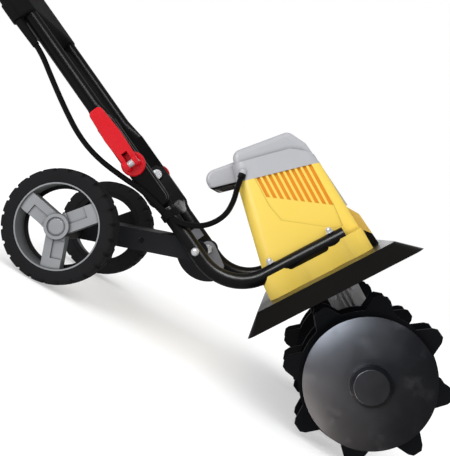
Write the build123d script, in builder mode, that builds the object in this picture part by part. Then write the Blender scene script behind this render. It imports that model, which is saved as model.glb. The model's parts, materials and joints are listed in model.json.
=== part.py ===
from build123d import *
from math import asin, atan, atan2, cos, degrees, hypot, pi, radians, sin, tan
import os

# Electric tiller. Every piece is drawn with the machine level, its tine axle at the origin,
# X forward, Y to the machine's left and Z square to the guard. At the end the whole machine
# is tipped back on its raised wheels, as it rests when it is parked.

# Clearances
running_gap = 0.05
bolt_gap = 0.1
body_gap = 0.4
overlap = 1.0

# Frame tubes
tube_radius = 11.0
tube_wall = 1.5
tube_spacing = 170.0
tube_rise = 34.5
tube_front = 66.0
tube_corner = -118.0
tube_bend = 68.0
handle_angle = 97.6
pivot_reach = 75.2
fold_reach = 225.5
tube_bolt_places = (-43.0, 49.0)

# Pressed tube ends at the fold
press_width = 30.0
press_thick = 5.6
press_below = 50.0
press_taper = 24.0
spoon_thick = 10.8
spoon_below = 58.0
spoon_above = 70.0
spoon_taper = 33.0

# Guard
guard_top = 144.0
guard_sheet = 2.0
guard_rear = -85.0
guard_front = 113.0
guard_half = 157.0
guard_flare = 25.0
guard_drop = 23.0
guard_corner = 8.0
corner_grow = 0.3

# Motor housing
base_rear = -68.0
base_front = 92.0
base_half = 99.0
base_taper = 3.0
ledge_drop = 2.5
rear_lean = 0.2
front_lean = 0.05
body_half = 77.0
side_lean = 0.077
shell_wall = 3.0
corner_round = 20.0
parting_height = 310.0
parting_at = -19.0
parting_fall = 0.255
slot_count = 10
slot_pitch = 8.1
slot_width = 4.6
slot_sink = 3.0
slot_start = -3.0
slot_foot_rear = 274.0
slot_foot_front = 223.0
nose_half = 42.0
nose_reach = 17.0
nose_top = 212.0
nose_step = 193.0
window_height = 24.0
window_half = 30.0
notch_rear = -25.0
notch_front = 38.0
notch_depth = 9.0
notch_round = 6.0

# Hood
cap_round = 13.0
tongue_half = 38.0
tongue_thick = 4.0
lobe_half = 48.0

# Motor and drive
motor_offset = 29.0
shaft_radius = 5.0
stator_radius = 44.0
stator_bottom = 190.0
stator_height = 55.0
armature_radius = 24.0
air_gap = 0.6
fan_radius = 37.0
worm_module = 1.5
wheel_teeth = 28
worm_length = 28.0
gear_face = 14.0
backlash = 0.7
bearing_height = 8.0
bearing_radius = 13.0

# Gearbox
case_half = 33.0
case_round = 34.0
leg_top = 130.0
flange_half = 46.0
axle_bearing_radius = 20.0
axle_bearing_width = 10.0

# Tines
tine_radius = 110.0
tine_root = 90.0
tine_teeth = 8
tine_turn = 6.6
tine_tip = 22.0
tine_foot = 42.0
tine_chamfer = 5.0
tine_bend = 14.0
tine_plate = 4.0
tine_places = (-138.0, -82.0, 82.0, 138.0)
tine_shaft_radius = 10.0
tine_hub_radius = 17.0
tine_hub_length = 34.0
disc_radius = 85.0
disc_place = 168.0
disc_sheet = 2.5
disc_dish = 5.0
boss_radius = 26.0
boss_height = 16.0

# Wheels and their bracket
wheel_radius = 80.0
wheel_width = 40.0
wheel_outer = 142.5
rim_radius = 61.0
rim_wall = 3.0
rim_lip = 8.0
spoke_width = 27.0
spoke_turn = -8.5
spoke_drop = 3.0
hub_radius = 17.5
cap_radius = 11.5
lug_count = 16
lug_groove = 6.0
lug_depth = 4.6
axle_radius = 6.0
arm_length = 186.0
arm_angle = 141.4
arm_height = 30.0
arm_sheet = 3.0
arm_place = 68.0
arm_swing = 87.0
arm_hole_reach = 83.0
arm_hole_radius = 4.25
pivot_radius = 4.0
quadrant_radius = 53.0
quadrant_sheet = 3.0
clamp_reach = 42.0
clamp_radius = 4.0
clamp_knob_radius = 15.0

# Cam levers
cam_bolt_radius = 3.0
cup_radius = 17.5
cup_height = 5.5
cam_radius = 8.0
barrel_radius = 4.5
lever_length = 92.0
lever_half = 13.0
lever_thick = 8.0
fork_half = 11.0
fork_slot = 9.0

# Handle, console and grip
console_start = 264.0
console_length = 134.0
console_half = 103.0
console_ahead = 12.5
console_back = 24.0
console_wall = 3.0
flare_start = 440.0
flare_end = 530.0
flare_half = 175.0
handle_length = 640.0
handle_round = 55.0
grip_radius = 16.0
grip_length = 210.0
bail_radius = 4.0
bail_half = 58.0
bail_length = 196.0
bail_tilt = 20.0
button_radius = 9.0
button_travel = 5.0

# Motor cable
cable_radius = 4.0
gland_radius = 6.5

tube_half = tube_spacing / 2
tube_height = guard_top + tube_rise
along = Vector(cos(radians(handle_angle)), 0, sin(radians(handle_angle)))
ahead = Vector(sin(radians(handle_angle)), 0, -cos(radians(handle_angle)))
corner = Vector(tube_corner, 0, tube_height)
pivot = corner + along * pivot_reach
fold = corner + along * fold_reach
left = Vector(0, 1, 0)
arm_way = Vector(cos(radians(arm_angle)), 0, sin(radians(arm_angle)))
axle = pivot + arm_way * arm_length
worm_pitch_radius = motor_offset - worm_module * wheel_teeth / 2
pieces = {}


def keep(name, piece):
    """Files a finished piece under its node name."""
    pieces[name] = piece.part


def twin(piece):
    """The same piece on the other side of the machine."""
    with BuildPart() as other:
        mirror(piece.part, about=Plane.XZ)
    return other


def across(x, z, y):
    """A plane square to the axles, facing left, at the given place."""
    return Plane(origin=(x, y, z), x_dir=(1, 0, 0), z_dir=(0, 1, 0))


def side(y):
    """A plane seen from the right with X forward and Z up, facing right."""
    return Plane(origin=(0, y, 0), x_dir=(1, 0, 0), z_dir=(0, -1, 0))


def on_handle(reach, lift=0.0, y=0.0):
    """A point by its reach up the handle from the fold bolts and its lift ahead of the tubes."""
    return fold + along * reach + ahead * lift + left * y


def handle_cut(reach, lift=0.0, y=0.0):
    """A plane square to the handle: x ahead, y left."""
    return Plane(origin=on_handle(reach, lift, y), x_dir=ahead, z_dir=along)


def handle_side(y, lift=0.0):
    """A plane beside the handle: x up the handle, y ahead, facing left."""
    return Plane(origin=on_handle(0, lift, y), x_dir=along, z_dir=(0, 1, 0))


def handle_face(lift):
    """A plane in front of the handle: x up the handle, y right, facing ahead."""
    return Plane(origin=on_handle(0, lift), x_dir=along, z_dir=ahead)


def cross_pin(point, y_from, y_to, radius, hollow=0.0, mode=Mode.ADD):
    """A pin, ring or hole along Y in the part that is being built."""
    with BuildSketch(across(point.X, point.Z, min(y_from, y_to))) as ring:
        Circle(radius)
        if hollow:
            Circle(hollow, mode=Mode.SUBTRACT)
    extrude(ring.sketch, amount=abs(y_to - y_from), mode=mode)


def upright(x, y, z_from, z_to, radius, hollow=0.0, mode=Mode.ADD):
    """A round post, ring or hole along Z in the part that is being built."""
    with BuildSketch(Plane.XY.offset(z_from)) as ring:
        with Locations((x, y)):
            Circle(radius)
            if hollow:
                Circle(hollow, mode=Mode.SUBTRACT)
    extrude(ring.sketch, amount=z_to - z_from, mode=mode)


# Tine guard: a flat pan with flared skirts
guard_middle = (guard_rear + guard_front) / 2
guard_span = guard_front - guard_rear


def guard_level(z, grow):
    """The pan's outline at one level, grown outwards down the skirts."""
    with BuildSketch(Plane.XY.offset(z)) as level:
        with Locations((guard_middle, 0)):
            RectangleRounded(
                guard_span + 2 * grow, 2 * (guard_half + grow), guard_corner + corner_grow * grow
            )
    return level.sketch


flange_center = motor_offset - 4.0
flange_bolt = flange_half - 9.0
guard_hole = 24.0

with BuildPart() as tine_guard:
    loft([guard_level(guard_top, 0), guard_level(guard_top - guard_drop, guard_flare)], ruled=True)
    loft(
        [
            guard_level(guard_top - guard_sheet, 0),
            guard_level(guard_top - guard_sheet - guard_drop, guard_flare),
        ],
        ruled=True,
        mode=Mode.SUBTRACT,
    )
    upright(motor_offset, 0, guard_top - guard_drop, guard_top, guard_hole, mode=Mode.SUBTRACT)
    with Locations((flange_center, 0, guard_top)):
        with GridLocations(2 * flange_bolt, 2 * flange_bolt, 2, 2):
            Hole(pivot_radius + bolt_gap, depth=guard_drop)
keep("tine_guard", tine_guard)


# Motor housing: a tapered shell on a ledge that carries the tubes
def rear_at(z):
    return base_rear + rear_lean * (z - guard_top)


def front_at(z):
    return base_front - front_lean * (z - guard_top)


def half_at(z):
    return body_half - side_lean * (z - tube_height)


def parting_at_x(x):
    return parting_height - parting_fall * (x - parting_at)


def shell_level(z, inset):
    """One level of the tapered shell, drawn inset from its outer face."""
    with BuildSketch(Plane.XY.offset(z)) as level:
        with Locations(((rear_at(z) + front_at(z)) / 2, 0)):
            RectangleRounded(
                front_at(z) - rear_at(z) - 2 * inset, 2 * (half_at(z) - inset), corner_round - inset
            )
    return level.sketch


parting = Plane(
    origin=(parting_at, 0, parting_height), x_dir=(1, 0, -parting_fall), z_dir=(parting_fall, 0, 1)
)
shell_foot = tube_height - 14.0
shell_top = parting_height + 20.0
floor_thick = 6.0
shelf_thick = 5.0
seat_height = 26.0
seat_radius = bearing_radius + 5.0
lower_bearing = guard_top + seat_height - bearing_height
base_width = base_front - base_rear
base_middle = (base_front + base_rear) / 2
scallop_radius = 34.0
scallop_depth = 5.0
panel_depth = 1.2
panel_outline = ((-8, 312), (-8, 262), (-2, 236), (58, 192), (70, 190), (80, 292))
pad_thick = 3.5
pad_sink = 0.5
pad_outline = ((-8, 312), (-8, 262), (66, 210), (73.5, 210), (73.5, 292))
stator_lip = 3.0
shaft_clear = 2.0
nose_slope = 5.0
tube_bolt_depth = 26.0
scallop_places = (-18.0, 46.0)
window_sill = 5.0
window_depth = nose_reach + 2 * shell_wall
window_face = front_at(nose_top) + nose_reach

def slot_foot(x):
    """The height of the slanted line on which the ventilation slots end."""
    share = (x - slot_start) / ((slot_count - 1) * slot_pitch)
    return slot_foot_rear + (slot_foot_front - slot_foot_rear) * share


with BuildPart() as motor_housing:
    with BuildSketch(Plane.XY.offset(guard_top)):
        with Locations((base_middle, 0)):
            RectangleRounded(base_width, 2 * base_half, corner_round)
    extrude(amount=tube_rise - ledge_drop, taper=base_taper)
    loft([shell_level(shell_foot, 0), shell_level(shell_top, 0)], ruled=True)
    with BuildSketch(side(nose_half)):
        with BuildLine():
            Polyline(
                (front_at(nose_top) - shell_wall, nose_top),
                (front_at(nose_top), nose_top),
                (front_at(nose_top) + nose_reach - nose_slope, nose_step),
                (front_at(nose_top) + nose_reach, guard_top),
                (front_at(nose_top) - shell_wall, guard_top),
                close=True,
            )
        make_face()
    extrude(amount=2 * nose_half)
    for x in scallop_places:
        for way in (-1, 1):
            away = base_half + scallop_radius - scallop_depth
            upright(x, way * away, guard_top, tube_height, scallop_radius, mode=Mode.SUBTRACT)
    loft(
        [shell_level(guard_top + floor_thick, shell_wall), shell_level(shell_top, shell_wall)],
        ruled=True,
        mode=Mode.SUBTRACT,
    )
    extrude(shell_level(stator_bottom - shelf_thick, shell_wall / 2), amount=shelf_thick)
    upright(motor_offset, 0, stator_bottom, stator_bottom + stator_height / 2, stator_radius + shell_wall)
    upright(
        motor_offset, 0, stator_bottom, stator_bottom + stator_height, stator_radius, mode=Mode.SUBTRACT
    )
    upright(
        motor_offset,
        0,
        stator_bottom - shelf_thick,
        stator_bottom,
        stator_radius - stator_lip,
        mode=Mode.SUBTRACT,
    )
    upright(motor_offset, 0, guard_top, guard_top + seat_height, seat_radius)
    upright(
        motor_offset, 0, guard_top, guard_top + seat_height, shaft_radius + shaft_clear, mode=Mode.SUBTRACT
    )
    upright(motor_offset, 0, lower_bearing, guard_top + seat_height, bearing_radius, mode=Mode.SUBTRACT)
    with Locations((flange_center, 0, guard_top + floor_thick)):
        with GridLocations(2 * flange_bolt, 2 * flange_bolt, 2, 2):
            Hole(pivot_radius + bolt_gap, depth=floor_thick)
    for way in (-1, 1):
        groove = Plane(
            origin=(base_rear - corner_round, way * tube_half, tube_height), x_dir=(0, 1, 0), z_dir=(1, 0, 0)
        )
        with BuildSketch(groove):
            Circle(tube_radius + bolt_gap)
        extrude(amount=tube_front - base_rear + corner_round + body_gap, mode=Mode.SUBTRACT)
        with BuildSketch(side(way * (tube_half + tube_radius) + tube_radius)):
            with Locations(((notch_rear + notch_front) / 2, tube_height)):
                RectangleRounded(notch_front - notch_rear, 2 * notch_depth, notch_round)
        extrude(amount=2 * tube_radius, mode=Mode.SUBTRACT)
        for x in tube_bolt_places:
            upright(
                x,
                way * tube_half,
                tube_height - tube_bolt_depth,
                tube_height,
                cam_bolt_radius + bolt_gap,
                mode=Mode.SUBTRACT,
            )
        wall = Plane(
            origin=(0, way * half_at(tube_height), tube_height),
            x_dir=(1, 0, 0),
            z_dir=(0, way, side_lean),
        )
        rise = way * hypot(1, side_lean)
        with BuildSketch(wall.offset(-shell_wall - pad_thick)):
            with BuildLine():
                Polyline(*[(x, -rise * (z - tube_height)) for x, z in pad_outline], close=True)
            make_face()
        extrude(amount=pad_thick + pad_sink)
        with BuildSketch(wall.offset(-panel_depth)):
            with BuildLine():
                Polyline(*[(x, -rise * (z - tube_height)) for x, z in panel_outline], close=True)
            make_face()
        extrude(amount=2 * panel_depth, mode=Mode.SUBTRACT)
        with BuildSketch(wall.offset(-panel_depth - slot_sink)):
            for i in range(slot_count):
                rear = slot_start + i * slot_pitch - slot_width / 2
                front = rear + slot_width
                ends = [(rear, slot_foot(rear)), (front, slot_foot(front))]
                ends += [(front, shell_top), (rear, shell_top)]
                with BuildLine():
                    Polyline(*[(x, -rise * (z - tube_height)) for x, z in ends], close=True)
                make_face()
        extrude(amount=slot_sink + shell_wall, mode=Mode.SUBTRACT)
    split(bisect_by=parting, keep=Keep.BOTTOM)
    with Locations((window_face, 0, guard_top + window_sill + window_height / 2)):
        Box(2 * window_depth, 2 * window_half, window_height, mode=Mode.SUBTRACT)
keep("motor_housing", motor_housing)

# Hood over the motor: a band that carries the shell on, a cap, the intake lobe and a tongue
hood_from = parting_height - 40.0
hood_to = parting_height + 45.0
band_outline = ((-70, 255), (-70, 350), (-29, 341), (56, 321), (80, 303), (85, 284), (97, 255))
cap_outline = ((-30, 320), (-20, 357), (66, 345), (80, 318), (83, 292))
cap_corners = (0, cap_round, cap_round, cap_round, 0)
cap_half = 61.0
cap_soft = 9.0
lobe_rear = -73.0
lobe_front = -20.0
lobe_tops = (351.5, 344.0)
lobe_outline = (
    (lobe_front, parting_at_x(lobe_front)),
    (lobe_rear, parting_at_x(lobe_rear)),
    (lobe_rear, lobe_tops[0]),
    (lobe_front, lobe_tops[1]),
)
lobe_corners = (0, 9.0, 15.0, 0)
lobe_soft = 6.0
tongue_top = 300.0
lip = base_front
for step in range(5):
    lip = front_at(parting_at_x(lip))
tongue_outline = (
    (front_at(nose_top), nose_top),
    (front_at(nose_top) + tongue_thick, nose_top),
    (front_at(tongue_top), tongue_top),
    (front_at(tongue_top) - 3 * tongue_thick, tongue_top),
    (lip, parting_at_x(lip)),
)
cable_end = Vector(-24.5, -67.0, 316.5)
entry_way = Vector(11.5, 4.5, 10.5).normalized()
sleeve_length = 12.0
sleeve_radius = 5.5
intake_rear = -63.0
intake_front = -38.0
intake_middle = (intake_rear + intake_front) / 2
intake_length = intake_front - intake_rear
intake_half = 38.0
bar_pitch = 4.4
bar_count = 5
intake = Plane(
    origin=(intake_middle, 0, parting_at_x(intake_middle)), x_dir=parting.x_dir, z_dir=parting.z_dir
)


def side_block(outline, corners, half, soft, inset=0.0):
    """A block drawn by its side outline, with rounded corners and softened side edges."""
    with BuildPart() as block:
        with BuildSketch(side(half - inset)) as profile:
            with BuildLine():
                Polyline(*outline, close=True)
            make_face()
            for (x, z), corner in zip(outline, corners):
                if corner:
                    fillet(profile.vertices().sort_by_distance((x, z, 0))[0], corner)
            if inset:
                offset(amount=-inset, kind=Kind.INTERSECTION, mode=Mode.REPLACE)
        extrude(amount=2 * (half - inset))
        if soft > inset:
            fillet(block.faces().filter_by(Axis.Y).edges(), soft - inset)
    return block.part


def hood_band(inset):
    """The shell carried on above the parting, under the band's own top line."""
    with BuildPart() as band:
        loft([shell_level(hood_from, inset), shell_level(hood_to, inset)], ruled=True)
        with BuildSketch(side(base_half)):
            with BuildLine():
                Polyline(*band_outline, close=True)
            make_face()
            if inset:
                offset(amount=-inset, kind=Kind.INTERSECTION, mode=Mode.REPLACE)
        extrude(amount=2 * base_half, mode=Mode.INTERSECT)
        if not inset:
            split(bisect_by=parting, keep=Keep.TOP)
    return band.part


with BuildPart() as motor_hood:
    add(hood_band(0))
    add(side_block(cap_outline, cap_corners, cap_half, cap_soft))
    add(side_block(lobe_outline, lobe_corners, lobe_half, lobe_soft))
    with BuildSketch(side(tongue_half)):
        with BuildLine():
            Polyline(*tongue_outline, close=True)
        make_face()
    extrude(amount=2 * tongue_half)
    add(hood_band(shell_wall), mode=Mode.SUBTRACT)
    add(side_block(cap_outline, cap_corners, cap_half, cap_soft, shell_wall), mode=Mode.SUBTRACT)
    add(side_block(lobe_outline, lobe_corners, lobe_half, lobe_soft, shell_wall), mode=Mode.SUBTRACT)
    with Locations(intake):
        Box(intake_length, 2 * intake_half, 2 * shell_wall, mode=Mode.SUBTRACT)
    with BuildSketch(Plane(origin=cable_end, z_dir=entry_way)):
        Circle(sleeve_radius)
    extrude(amount=sleeve_length)
keep("motor_hood", motor_hood)

with BuildPart() as intake_grille:
    with Locations(intake.offset(shell_wall / 2)):
        Box(intake_length, 2 * intake_half, shell_wall)
        with GridLocations(bar_pitch, 0, bar_count, 1):
            Box(bar_pitch / 2, 2 * (intake_half - shell_wall), shell_wall, mode=Mode.SUBTRACT)
keep("intake_grille", intake_grille)

louvre_count = 4
with BuildPart() as outlet_grille:
    middle = guard_top + window_sill + window_height / 2
    with Locations((window_face - nose_slope - shell_wall / 2, 0, middle)):
        Box(shell_wall, 2 * window_half, window_height)
    for i in range(louvre_count):
        z = middle + (i + 0.5 - louvre_count / 2) * window_height / (louvre_count + 0.5)
        with Locations((window_face - nose_slope - shell_wall / 2, 0, z)):
            Box(shell_wall, 2 * window_half - 2 * shell_wall, shell_wall, mode=Mode.SUBTRACT)
keep("outlet_grille", outlet_grille)

# Motor: stator with two field coils, end bracket and brushes
coil_inner = 29.0
coil_outer = 37.0
coil_edges = (50.0, 70.0)
coil_end = 5.5
stator_top = stator_bottom + stator_height
brush_height = stator_top + 14.0
bracket_top = stator_top + 27.0
bracket_plate = 4.0
boss_top = bracket_top + 16.0
top_bearing_radius = 11.0
top_bearing = bracket_top + 5.0
commutator_radius = 12.0
brush_size = (6.0, 8.0)
holder_wall = 1.2
holder_end = 5.0
brush_end = 10.0
bracket_wall = 4.0
sector_points = 5


def sector(z, from_radius, to_radius, middle_angle, edge):
    """A ring sector about the motor axis."""
    with BuildSketch(Plane.XY.offset(z)) as wedge:
        with Locations((motor_offset, 0)):
            Circle(to_radius)
            Circle(from_radius, mode=Mode.SUBTRACT)
            reach = 2 * to_radius
            points = [(0, 0)]
            for i in range(sector_points):
                angle = radians(middle_angle + edge * (2 * i / (sector_points - 1) - 1))
                points.append((reach * cos(angle), reach * sin(angle)))
            Polygon(*points, align=None, mode=Mode.INTERSECT)
    return wedge.sketch


with BuildPart() as motor_stator:
    upright(motor_offset, 0, stator_bottom, stator_top, stator_radius, armature_radius + air_gap)
    for way in (0, 180):
        for turn in (-1, 1):
            middle_angle = way + turn * (coil_edges[0] + coil_edges[1]) / 2
            edge = (coil_edges[1] - coil_edges[0]) / 2
            slot = sector(stator_bottom, coil_inner, coil_outer, middle_angle, edge)
            extrude(slot, amount=stator_height, mode=Mode.SUBTRACT)
keep("motor_stator", motor_stator)

with BuildPart() as field_coils:
    for way in (0, 180):
        loop = sector(stator_bottom - coil_end, coil_inner, coil_outer, way, coil_edges[1])
        extrude(loop, amount=stator_height + 2 * coil_end)
    for way in (0, 180):
        pole = sector(stator_bottom, coil_inner, coil_outer, way, coil_edges[0])
        extrude(pole, amount=stator_height, mode=Mode.SUBTRACT)
keep("field_coils", field_coils)

with BuildPart() as motor_end_bracket:
    upright(motor_offset, 0, stator_top, bracket_top, stator_radius, stator_radius - bracket_wall)
    upright(motor_offset, 0, bracket_top, bracket_top + bracket_plate, stator_radius)
    upright(motor_offset, 0, bracket_top + bracket_plate, boss_top, top_bearing_radius + bracket_wall)
    upright(
        motor_offset, 0, bracket_top, top_bearing + bearing_height, top_bearing_radius, mode=Mode.SUBTRACT
    )
    upright(motor_offset, 0, bracket_top, boss_top, shaft_radius + 1.5, mode=Mode.SUBTRACT)
    holder_reach = stator_radius - commutator_radius - holder_end
    for way in (-1, 1):
        with Locations((motor_offset, way * (stator_radius - holder_reach / 2), brush_height)):
            Box(brush_size[0] + 2 * holder_wall, holder_reach, brush_size[1] + 2 * holder_wall)
            Box(brush_size[0], holder_reach, brush_size[1], mode=Mode.SUBTRACT)
keep("motor_end_bracket", motor_end_bracket)

with BuildPart() as carbon_brushes:
    for way in (-1, 1):
        reach = stator_radius - commutator_radius - brush_end
        with Locations((motor_offset, way * (commutator_radius + running_gap + reach / 2), brush_height)):
            Box(brush_size[0], reach, brush_size[1])
keep("carbon_brushes", carbon_brushes)

leg_bearing = leg_top - 18.0
foot_bearing = -38.0
shaft_foot = foot_bearing - 1.0
shaft_top = top_bearing + bearing_height

with BuildPart() as shaft_bearings:
    for z, outer in (
        (top_bearing, top_bearing_radius),
        (lower_bearing, bearing_radius),
        (leg_bearing, bearing_radius),
        (foot_bearing, bearing_radius),
    ):
        upright(motor_offset, 0, z, z + bearing_height, outer, shaft_radius + running_gap)
keep("shaft_bearings", shaft_bearings)

# Armature with its winding, commutator, fan and worm
core_slots = 12
core_slot = 3.2
slot_depth = 8.0
head_height = 5.0
winding_inner = armature_radius - slot_depth
winding_outer = armature_radius - 2.0
fan_bottom = guard_top + seat_height + 2.0
fan_sheet = 2.0
fan_blades = 9
fan_hub = 12.0
fan_top = stator_bottom - coil_end - 2.5

with BuildPart() as armature_shaft:
    upright(motor_offset, 0, shaft_foot, shaft_top, shaft_radius)
keep("armature_shaft", armature_shaft)

with BuildPart() as armature_core:
    upright(motor_offset, 0, stator_bottom, stator_top, armature_radius, shaft_radius)
    with Locations((motor_offset, 0, (stator_bottom + stator_top) / 2)):
        with PolarLocations(armature_radius - slot_depth / 2, core_slots):
            Box(slot_depth, core_slot, stator_height, mode=Mode.SUBTRACT)
keep("armature_core", armature_core)

with BuildPart() as armature_winding:
    for z in (stator_bottom - head_height, stator_top):
        upright(motor_offset, 0, z, z + head_height, winding_outer, shaft_radius + 3)
    with Locations((motor_offset, 0, (stator_bottom + stator_top) / 2)):
        with PolarLocations((winding_inner + winding_outer) / 2, core_slots):
            Box(winding_outer - winding_inner, core_slot, stator_height)
keep("armature_winding", armature_winding)

with BuildPart() as commutator:
    commutator_foot = stator_top + head_height + body_gap
    commutator_height = bracket_top - commutator_foot - 4
    upright(
        motor_offset, 0, commutator_foot, commutator_foot + commutator_height, commutator_radius, shaft_radius
    )
    with Locations((motor_offset, 0, commutator_foot + commutator_height / 2)):
        with PolarLocations(commutator_radius, core_slots):
            Box(2, 0.8, commutator_height, mode=Mode.SUBTRACT)
keep("commutator", commutator)

with BuildPart() as cooling_fan:
    upright(motor_offset, 0, fan_bottom, fan_top, fan_hub, shaft_radius)
    upright(motor_offset, 0, fan_top - fan_sheet, fan_top, fan_radius, shaft_radius)
    with Locations((motor_offset, 0, (fan_bottom + fan_top) / 2)):
        with PolarLocations((fan_hub + fan_radius) / 2 - 1, fan_blades):
            Box(fan_radius - fan_hub, fan_sheet, fan_top - fan_bottom)
keep("cooling_fan", cooling_fan)

# Worm and worm wheel, with a play of one backlash between the flanks
worm_pitch = pi * worm_module
worm_turns = 5
tooth_rise = 0.85 * worm_module
tooth_root = 1.2 * worm_module
half_tooth = worm_pitch / 4 - backlash / 4
flank = tan(radians(20))
worm_root = worm_pitch_radius - tooth_root
lead = worm_pitch / (2 * pi * worm_pitch_radius)

with BuildPart() as worm:
    upright(motor_offset, 0, -worm_length / 2, worm_length / 2, worm_root, shaft_radius)
    with BuildLine() as turns:
        Helix(
            pitch=worm_pitch,
            height=worm_turns * worm_pitch,
            radius=worm_pitch_radius,
            center=(motor_offset, 0, -worm_turns * worm_pitch / 2),
        )
    with BuildSketch(Plane(origin=turns.line @ 0, x_dir=(1, 0, 0), z_dir=turns.line % 0)):
        with BuildLine():
            Polyline(
                (-tooth_root - 0.3, half_tooth + (tooth_root + 0.3) * flank),
                (tooth_rise, half_tooth - tooth_rise * flank),
                (tooth_rise, -half_tooth + tooth_rise * flank),
                (-tooth_root - 0.3, -half_tooth - (tooth_root + 0.3) * flank),
                close=True,
            )
        make_face()
    sweep(is_frenet=True)
keep("worm", worm)

wheel_pitch_radius = worm_module * wheel_teeth / 2


def gear_level(y):
    """The worm wheel's outline at one level, turned along the lead of the worm."""
    turn = y * lead / wheel_pitch_radius
    points = []
    for i in range(wheel_teeth):
        middle_angle = turn + 2 * pi * (i + 0.5) / wheel_teeth
        for rise, way in ((-tooth_root, -1), (tooth_rise, -1), (tooth_rise, 1), (-tooth_root, 1)):
            radius = wheel_pitch_radius + rise
            angle = middle_angle + way * (half_tooth - rise * flank) / radius
            points.append((radius * cos(angle), radius * sin(angle)))
    with BuildSketch(across(0, 0, y)) as level:
        with BuildLine():
            Polyline(*points, close=True)
        make_face()
    return level.sketch


with BuildPart() as worm_wheel:
    loft([gear_level(-gear_face / 2), gear_level(gear_face / 2)], ruled=True)
    cross_pin(Vector(0, 0, 0), -gear_face / 2, gear_face / 2, tine_shaft_radius, mode=Mode.SUBTRACT)
keep("worm_wheel", worm_wheel)

# Gearbox: two halves parted at the middle, on a flange under the guard
leg_half = 21.0
leg_bottom = -44.0
leg_corner = 8.0
rib_sheet = 3.0
rib_proud = 4.0
rib_foot = 40.0
rib_top = leg_top - 6.0
side_ribs = (-7.0, 0.0, 7.0)
end_rib = 17.0
case_screw = 2.5
case_head = 4.5
head_thick = 4.0
screw_ring = case_round - 4.5
screw_half = leg_half - 5.0
screw_heights = (59.0, 103.0)
screw_places = [(motor_offset + way * screw_half, z) for z in screw_heights for way in (-1, 1)] + [
    (screw_ring * cos(radians(a)), screw_ring * sin(radians(a))) for a in (150, 205, 260)
]
mesh_play = 1.7
axle_seat = case_half - 1.0

with BuildPart() as gearbox:
    with BuildSketch(side(case_half)):
        Circle(case_round)
        with Locations((motor_offset, (leg_top + leg_bottom) / 2)):
            RectangleRounded(2 * leg_half, leg_top - leg_bottom, leg_corner)
    extrude(amount=2 * case_half)
    with Locations((motor_offset, 0, (rib_foot + rib_top) / 2)):
        for x in side_ribs:
            with Locations((x, 0, 0)):
                Box(rib_sheet, 2 * (case_half + rib_proud), rib_top - rib_foot)
        for y in (-end_rib, end_rib):
            with Locations((0, y, 0)):
                Box(2 * (leg_half + rib_proud), rib_sheet, rib_top - rib_foot)
    with Locations((motor_offset, 0, leg_top - leg_corner / 2)):
        Box(2 * leg_half, 2 * case_half, leg_corner)
    upright(motor_offset, 0, leg_top, guard_top, guard_hole)
    cross_pin(
        Vector(0, 0, 0),
        -gear_face / 2 - mesh_play,
        gear_face / 2 + mesh_play,
        wheel_pitch_radius + tooth_rise + mesh_play,
        mode=Mode.SUBTRACT,
    )
    cross_pin(
        Vector(0, 0, 0), -case_half, case_half, tine_shaft_radius + 2, mode=Mode.SUBTRACT
    )
    for way in (-1, 1):
        cross_pin(
            Vector(0, 0, 0),
            way * (axle_seat - axle_bearing_width),
            way * case_half,
            axle_bearing_radius,
            mode=Mode.SUBTRACT,
        )
    upright(
        motor_offset,
        0,
        -worm_length / 2 - mesh_play,
        worm_length / 2 + mesh_play,
        worm_pitch_radius + tooth_rise + mesh_play,
        mode=Mode.SUBTRACT,
    )
    upright(motor_offset, 0, foot_bearing, guard_top, shaft_radius + 2, mode=Mode.SUBTRACT)
    upright(motor_offset, 0, shaft_foot - 1, foot_bearing, shaft_radius + 1, mode=Mode.SUBTRACT)
    for z in (leg_bearing, foot_bearing):
        upright(motor_offset, 0, z, z + bearing_height, bearing_radius, mode=Mode.SUBTRACT)
    for x, z in screw_places:
        cross_pin(
            Vector(x, 0, z),
            -case_half - rib_proud,
            case_half + rib_proud,
            case_screw + bolt_gap,
            mode=Mode.SUBTRACT,
        )
for name, half in (("gearbox_right", Keep.TOP), ("gearbox_left", Keep.BOTTOM)):
    with BuildPart() as gearbox_half:
        add(gearbox.part)
        split(bisect_by=Plane.XZ, keep=half)
    keep(name, gearbox_half)

flange_head = 7.0
with BuildPart() as gearbox_flange:
    with BuildSketch(Plane.XY.offset(leg_top)):
        with Locations((flange_center, 0)):
            RectangleRounded(2 * flange_half, 2 * flange_half, flange_head)
        with Locations((motor_offset, 0)):
            Circle(guard_hole, mode=Mode.SUBTRACT)
    extrude(amount=guard_top - guard_sheet - leg_top)
    with Locations((flange_center, 0, guard_top)):
        with GridLocations(2 * flange_bolt, 2 * flange_bolt, 2, 2):
            Hole(pivot_radius + bolt_gap, depth=guard_drop)
keep("gearbox_flange", gearbox_flange)

with BuildPart() as gearbox_bolts:
    for x, z in screw_places:
        cross_pin(Vector(x, 0, z), -case_half, case_half, case_screw)
        for way in (-1, 1):
            cross_pin(Vector(x, 0, z), way * case_half, way * (case_half + head_thick), case_head)
    for x in (-flange_bolt, flange_bolt):
        for y in (-flange_bolt, flange_bolt):
            upright(flange_center + x, y, leg_top, guard_top + floor_thick, pivot_radius)
            upright(flange_center + x, y, leg_top - head_thick, leg_top, flange_head)
keep("gearbox_bolts", gearbox_bolts)

with BuildPart() as axle_bearings:
    for way in (-1, 1):
        cross_pin(
            Vector(0, 0, 0),
            way * (axle_seat - axle_bearing_width),
            way * axle_seat,
            axle_bearing_radius,
            tine_shaft_radius + running_gap,
        )
keep("axle_bearings", axle_bearings)

# Tine rotor: four stars with alternately bent teeth between two side discs
shaft_end = disc_place + 10.0
pin_radius = 3.0
pin_proud = 3.0
tooth_sink = 6.0
star_holes = 5
star_hole = 13.0
star_ring = 50.0


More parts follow.
